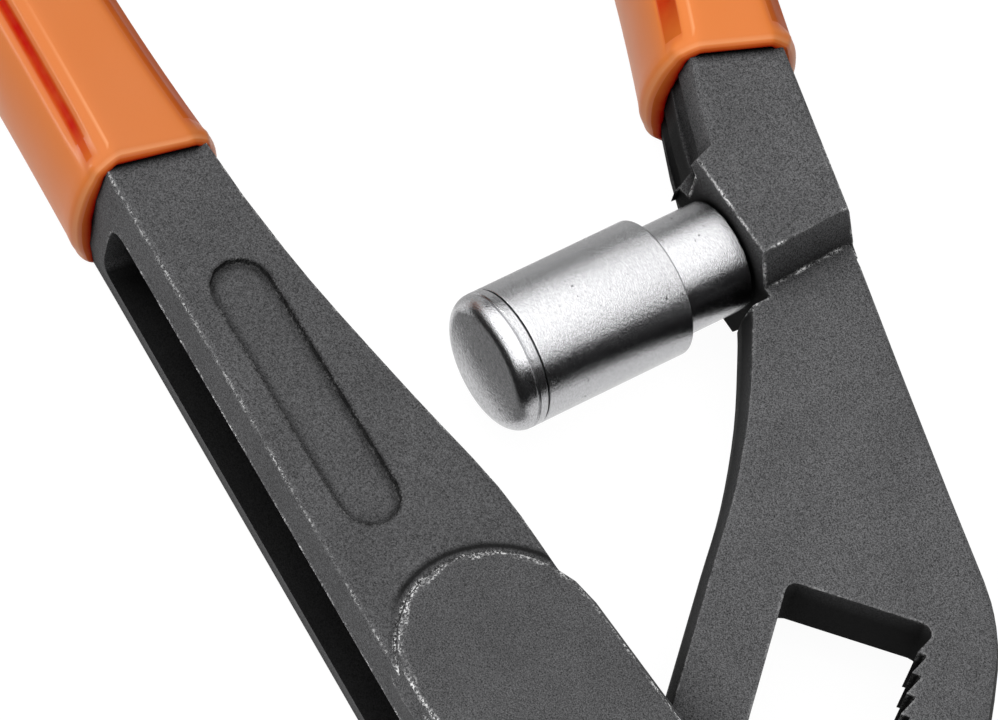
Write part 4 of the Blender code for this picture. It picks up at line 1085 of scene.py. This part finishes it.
def lamp(name, power, size, place):
    """A square soft lamp that faces the middle of the view."""
    light = bpy.data.lights.new(name, "AREA")
    light.energy = power
    light.shape = "SQUARE"
    light.size = size
    made = linked(name, light)
    made.location = place
    made.rotation_euler = (VIEW_CENTRE - place).to_track_quat("-Z", "Y").to_euler()


def gloss_card(name, corner, along, rise, strength):
    """A plain card that only gloss can see, from a corner along its two edges: black at strength 0."""
    mesh = bpy.data.meshes.new(name)
    corners = [corner, corner + along, corner + along + rise, corner + rise]
    mesh.from_pydata(corners, [], [(0, 1, 2, 3)])
    mesh.materials.append(Surface(name).finish(Base_Color=CARD_COLOUR, Roughness=1.0, Specular_IOR_Level=0.0,
                                               Emission_Color=WHITE, Emission_Strength=strength))
    card = linked(name, mesh)
    card.visible_camera = False
    card.visible_diffuse = False
    card.visible_shadow = False


def place_cards(right, top):
    """The black board in front, and the cards whose gloss shapes the cap and the sleeve."""
    near = BOARD_WAY[0] * right + BOARD_WAY[1] * top
    near.z = 0
    near.normalize()
    wide = Vector((-near.y, near.x, 0)) * BOARD_WIDTH
    foot = VIEW_CENTRE + BOARD_REACH * near - wide / 2
    gloss_card("near_board", Vector((foot.x, foot.y, 0)), wide, BOARD_HEIGHT * UP, 0.0)
    beside = Vector((PLUNGER_WAY.y, -PLUNGER_WAY.x, 0))
    seat = Vector((PLUNGER_SEAT.x, PLUNGER_SEAT.y, CARD_LEVEL))
    # The cap's card is painted shade: a dark sheet seen only in the cap's reflection of the floor in front of
    # it
    corner = seat + CAP_CARD_AHEAD * PLUNGER_WAY - CAP_CARD_WIDTH / 2 * beside
    gloss_card("cap_card", corner, CAP_CARD_DEPTH * PLUNGER_WAY, CAP_CARD_WIDTH * beside, CAP_CARD_LIGHT)
    corner = seat - SLEEVE_CARD_BEHIND * PLUNGER_WAY + SLEEVE_CARD_ASIDE * beside
    along = SLEEVE_CARD_LENGTH * PLUNGER_WAY
    gloss_card("sleeve_card", corner, along, SLEEVE_CARD_HEIGHT * UP, SLEEVE_CARD_LIGHT)
    gloss_card("sleeve_stripe", corner + SLEEVE_CARD_HEIGHT * UP, along, STRIPE_HEIGHT * UP, 0.0)


def place_camera(settings, right, top, back):
    """The camera, at its distance back from the middle of the view."""
    lens = bpy.data.cameras.new("camera")
    lens.sensor_width = SENSOR_WIDTH
    lens.lens = settings.lens
    lens.clip_start = NEAREST_SEEN
    camera = linked("camera", lens)
    place = VIEW_CENTRE + settings.distance * back
    rows = [(right[i], top[i], back[i], place[i]) for i in range(3)]
    camera.matrix_world = Matrix((*rows, (0, 0, 0, 1)))
    bpy.context.scene.camera = camera


def view_axes(tilt, roll):
    """The view's right, top and back ways."""
    rise = in_row(0, math.cos(tilt), math.sin(tilt))
    side = in_row(1, 0, 0)
    right = side * math.cos(roll) + rise * math.sin(roll)
    top = rise * math.cos(roll) - side * math.sin(roll)
    return right, top, in_row(0, -math.sin(tilt), math.cos(tilt))


class PLIERS_OT_stage(bpy.types.Operator):
    """Lay the floor, light the pliers and place the camera"""
    bl_idname = "pliers.stage"
    bl_label = "Stage"

    def execute(self, context):
        settings = context.scene.pliers_stage
        lay_floor()
        context.scene.world = white_world(settings.world_light)
        right, top, back = view_axes(settings.tilt, settings.roll)
        over = (KEY_WAY[0] * back + KEY_WAY[1] * top + KEY_WAY[2] * right).normalized()
        lamp("key_lamp", settings.key_light, KEY_SIZE, VIEW_CENTRE + over)
        aside = Vector((-right.x, -right.y, 0)).normalized() + SIDE_RISE * UP
        lamp("side_lamp", settings.side_light, SIDE_SIZE, VIEW_CENTRE + SIDE_REACH * aside)
        place_cards(right, top)
        place_camera(settings, right, top, back)
        context.scene.view_settings.view_transform = "Standard"
        return {"FINISHED"}


class PLIERS_PT_panel(bpy.types.Panel):
    """The pliers' steps and settings"""
    bl_idname = "PLIERS_PT_panel"
    bl_label = "Pipe pliers"
    bl_space_type = "VIEW_3D"
    bl_region_type = "UI"
    bl_category = "Pliers"

    def draw(self, context):
        for group, operators in GROUPS.items():
            column = self.layout.box().column()
            for operator in operators:
                column.operator(operator.bl_idname)
            settings = getattr(context.scene, group, None)
            if settings:
                for name in settings.bl_rna.properties.keys():
                    if name not in ("rna_type", "name"):
                        column.prop(settings, name)


GROUPS = {
    "pliers_forging": (PLIERS_OT_forgings,),
    "pliers_grip": (PLIERS_OT_grips,),
    "pliers_plunger": (PLIERS_OT_plunger,),
    "pliers_pivot": (PLIERS_OT_pivot,),
    "pliers_stage": (PLIERS_OT_stage,),
}
SETTINGS = {
    "pliers_forging": PLIERS_PG_forging,
    "pliers_grip": PLIERS_PG_grip,
    "pliers_plunger": PLIERS_PG_plunger,
    "pliers_stage": PLIERS_PG_stage,
}


def register():
    """Registers the settings, the operators and the panel."""
    for name, settings in SETTINGS.items():
        bpy.utils.register_class(settings)
        setattr(bpy.types.Scene, name, PointerProperty(type=settings))
    for operators in GROUPS.values():
        for operator in operators:
            bpy.utils.register_class(operator)
    bpy.utils.register_class(PLIERS_PT_panel)


def unregister():
    """Takes them away again."""
    bpy.utils.unregister_class(PLIERS_PT_panel)
    for operators in GROUPS.values():
        for operator in operators:
            bpy.utils.unregister_class(operator)
    for name, settings in SETTINGS.items():
        delattr(bpy.types.Scene, name)
        bpy.utils.unregister_class(settings)


def main():
    """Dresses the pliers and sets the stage."""
    register()
    bpy.ops.pliers.stage()
    bpy.ops.pliers.forgings()
    bpy.ops.pliers.grips()
    bpy.ops.pliers.plunger()
    bpy.ops.pliers.pivot()


if __name__ == "__main__":
    main()
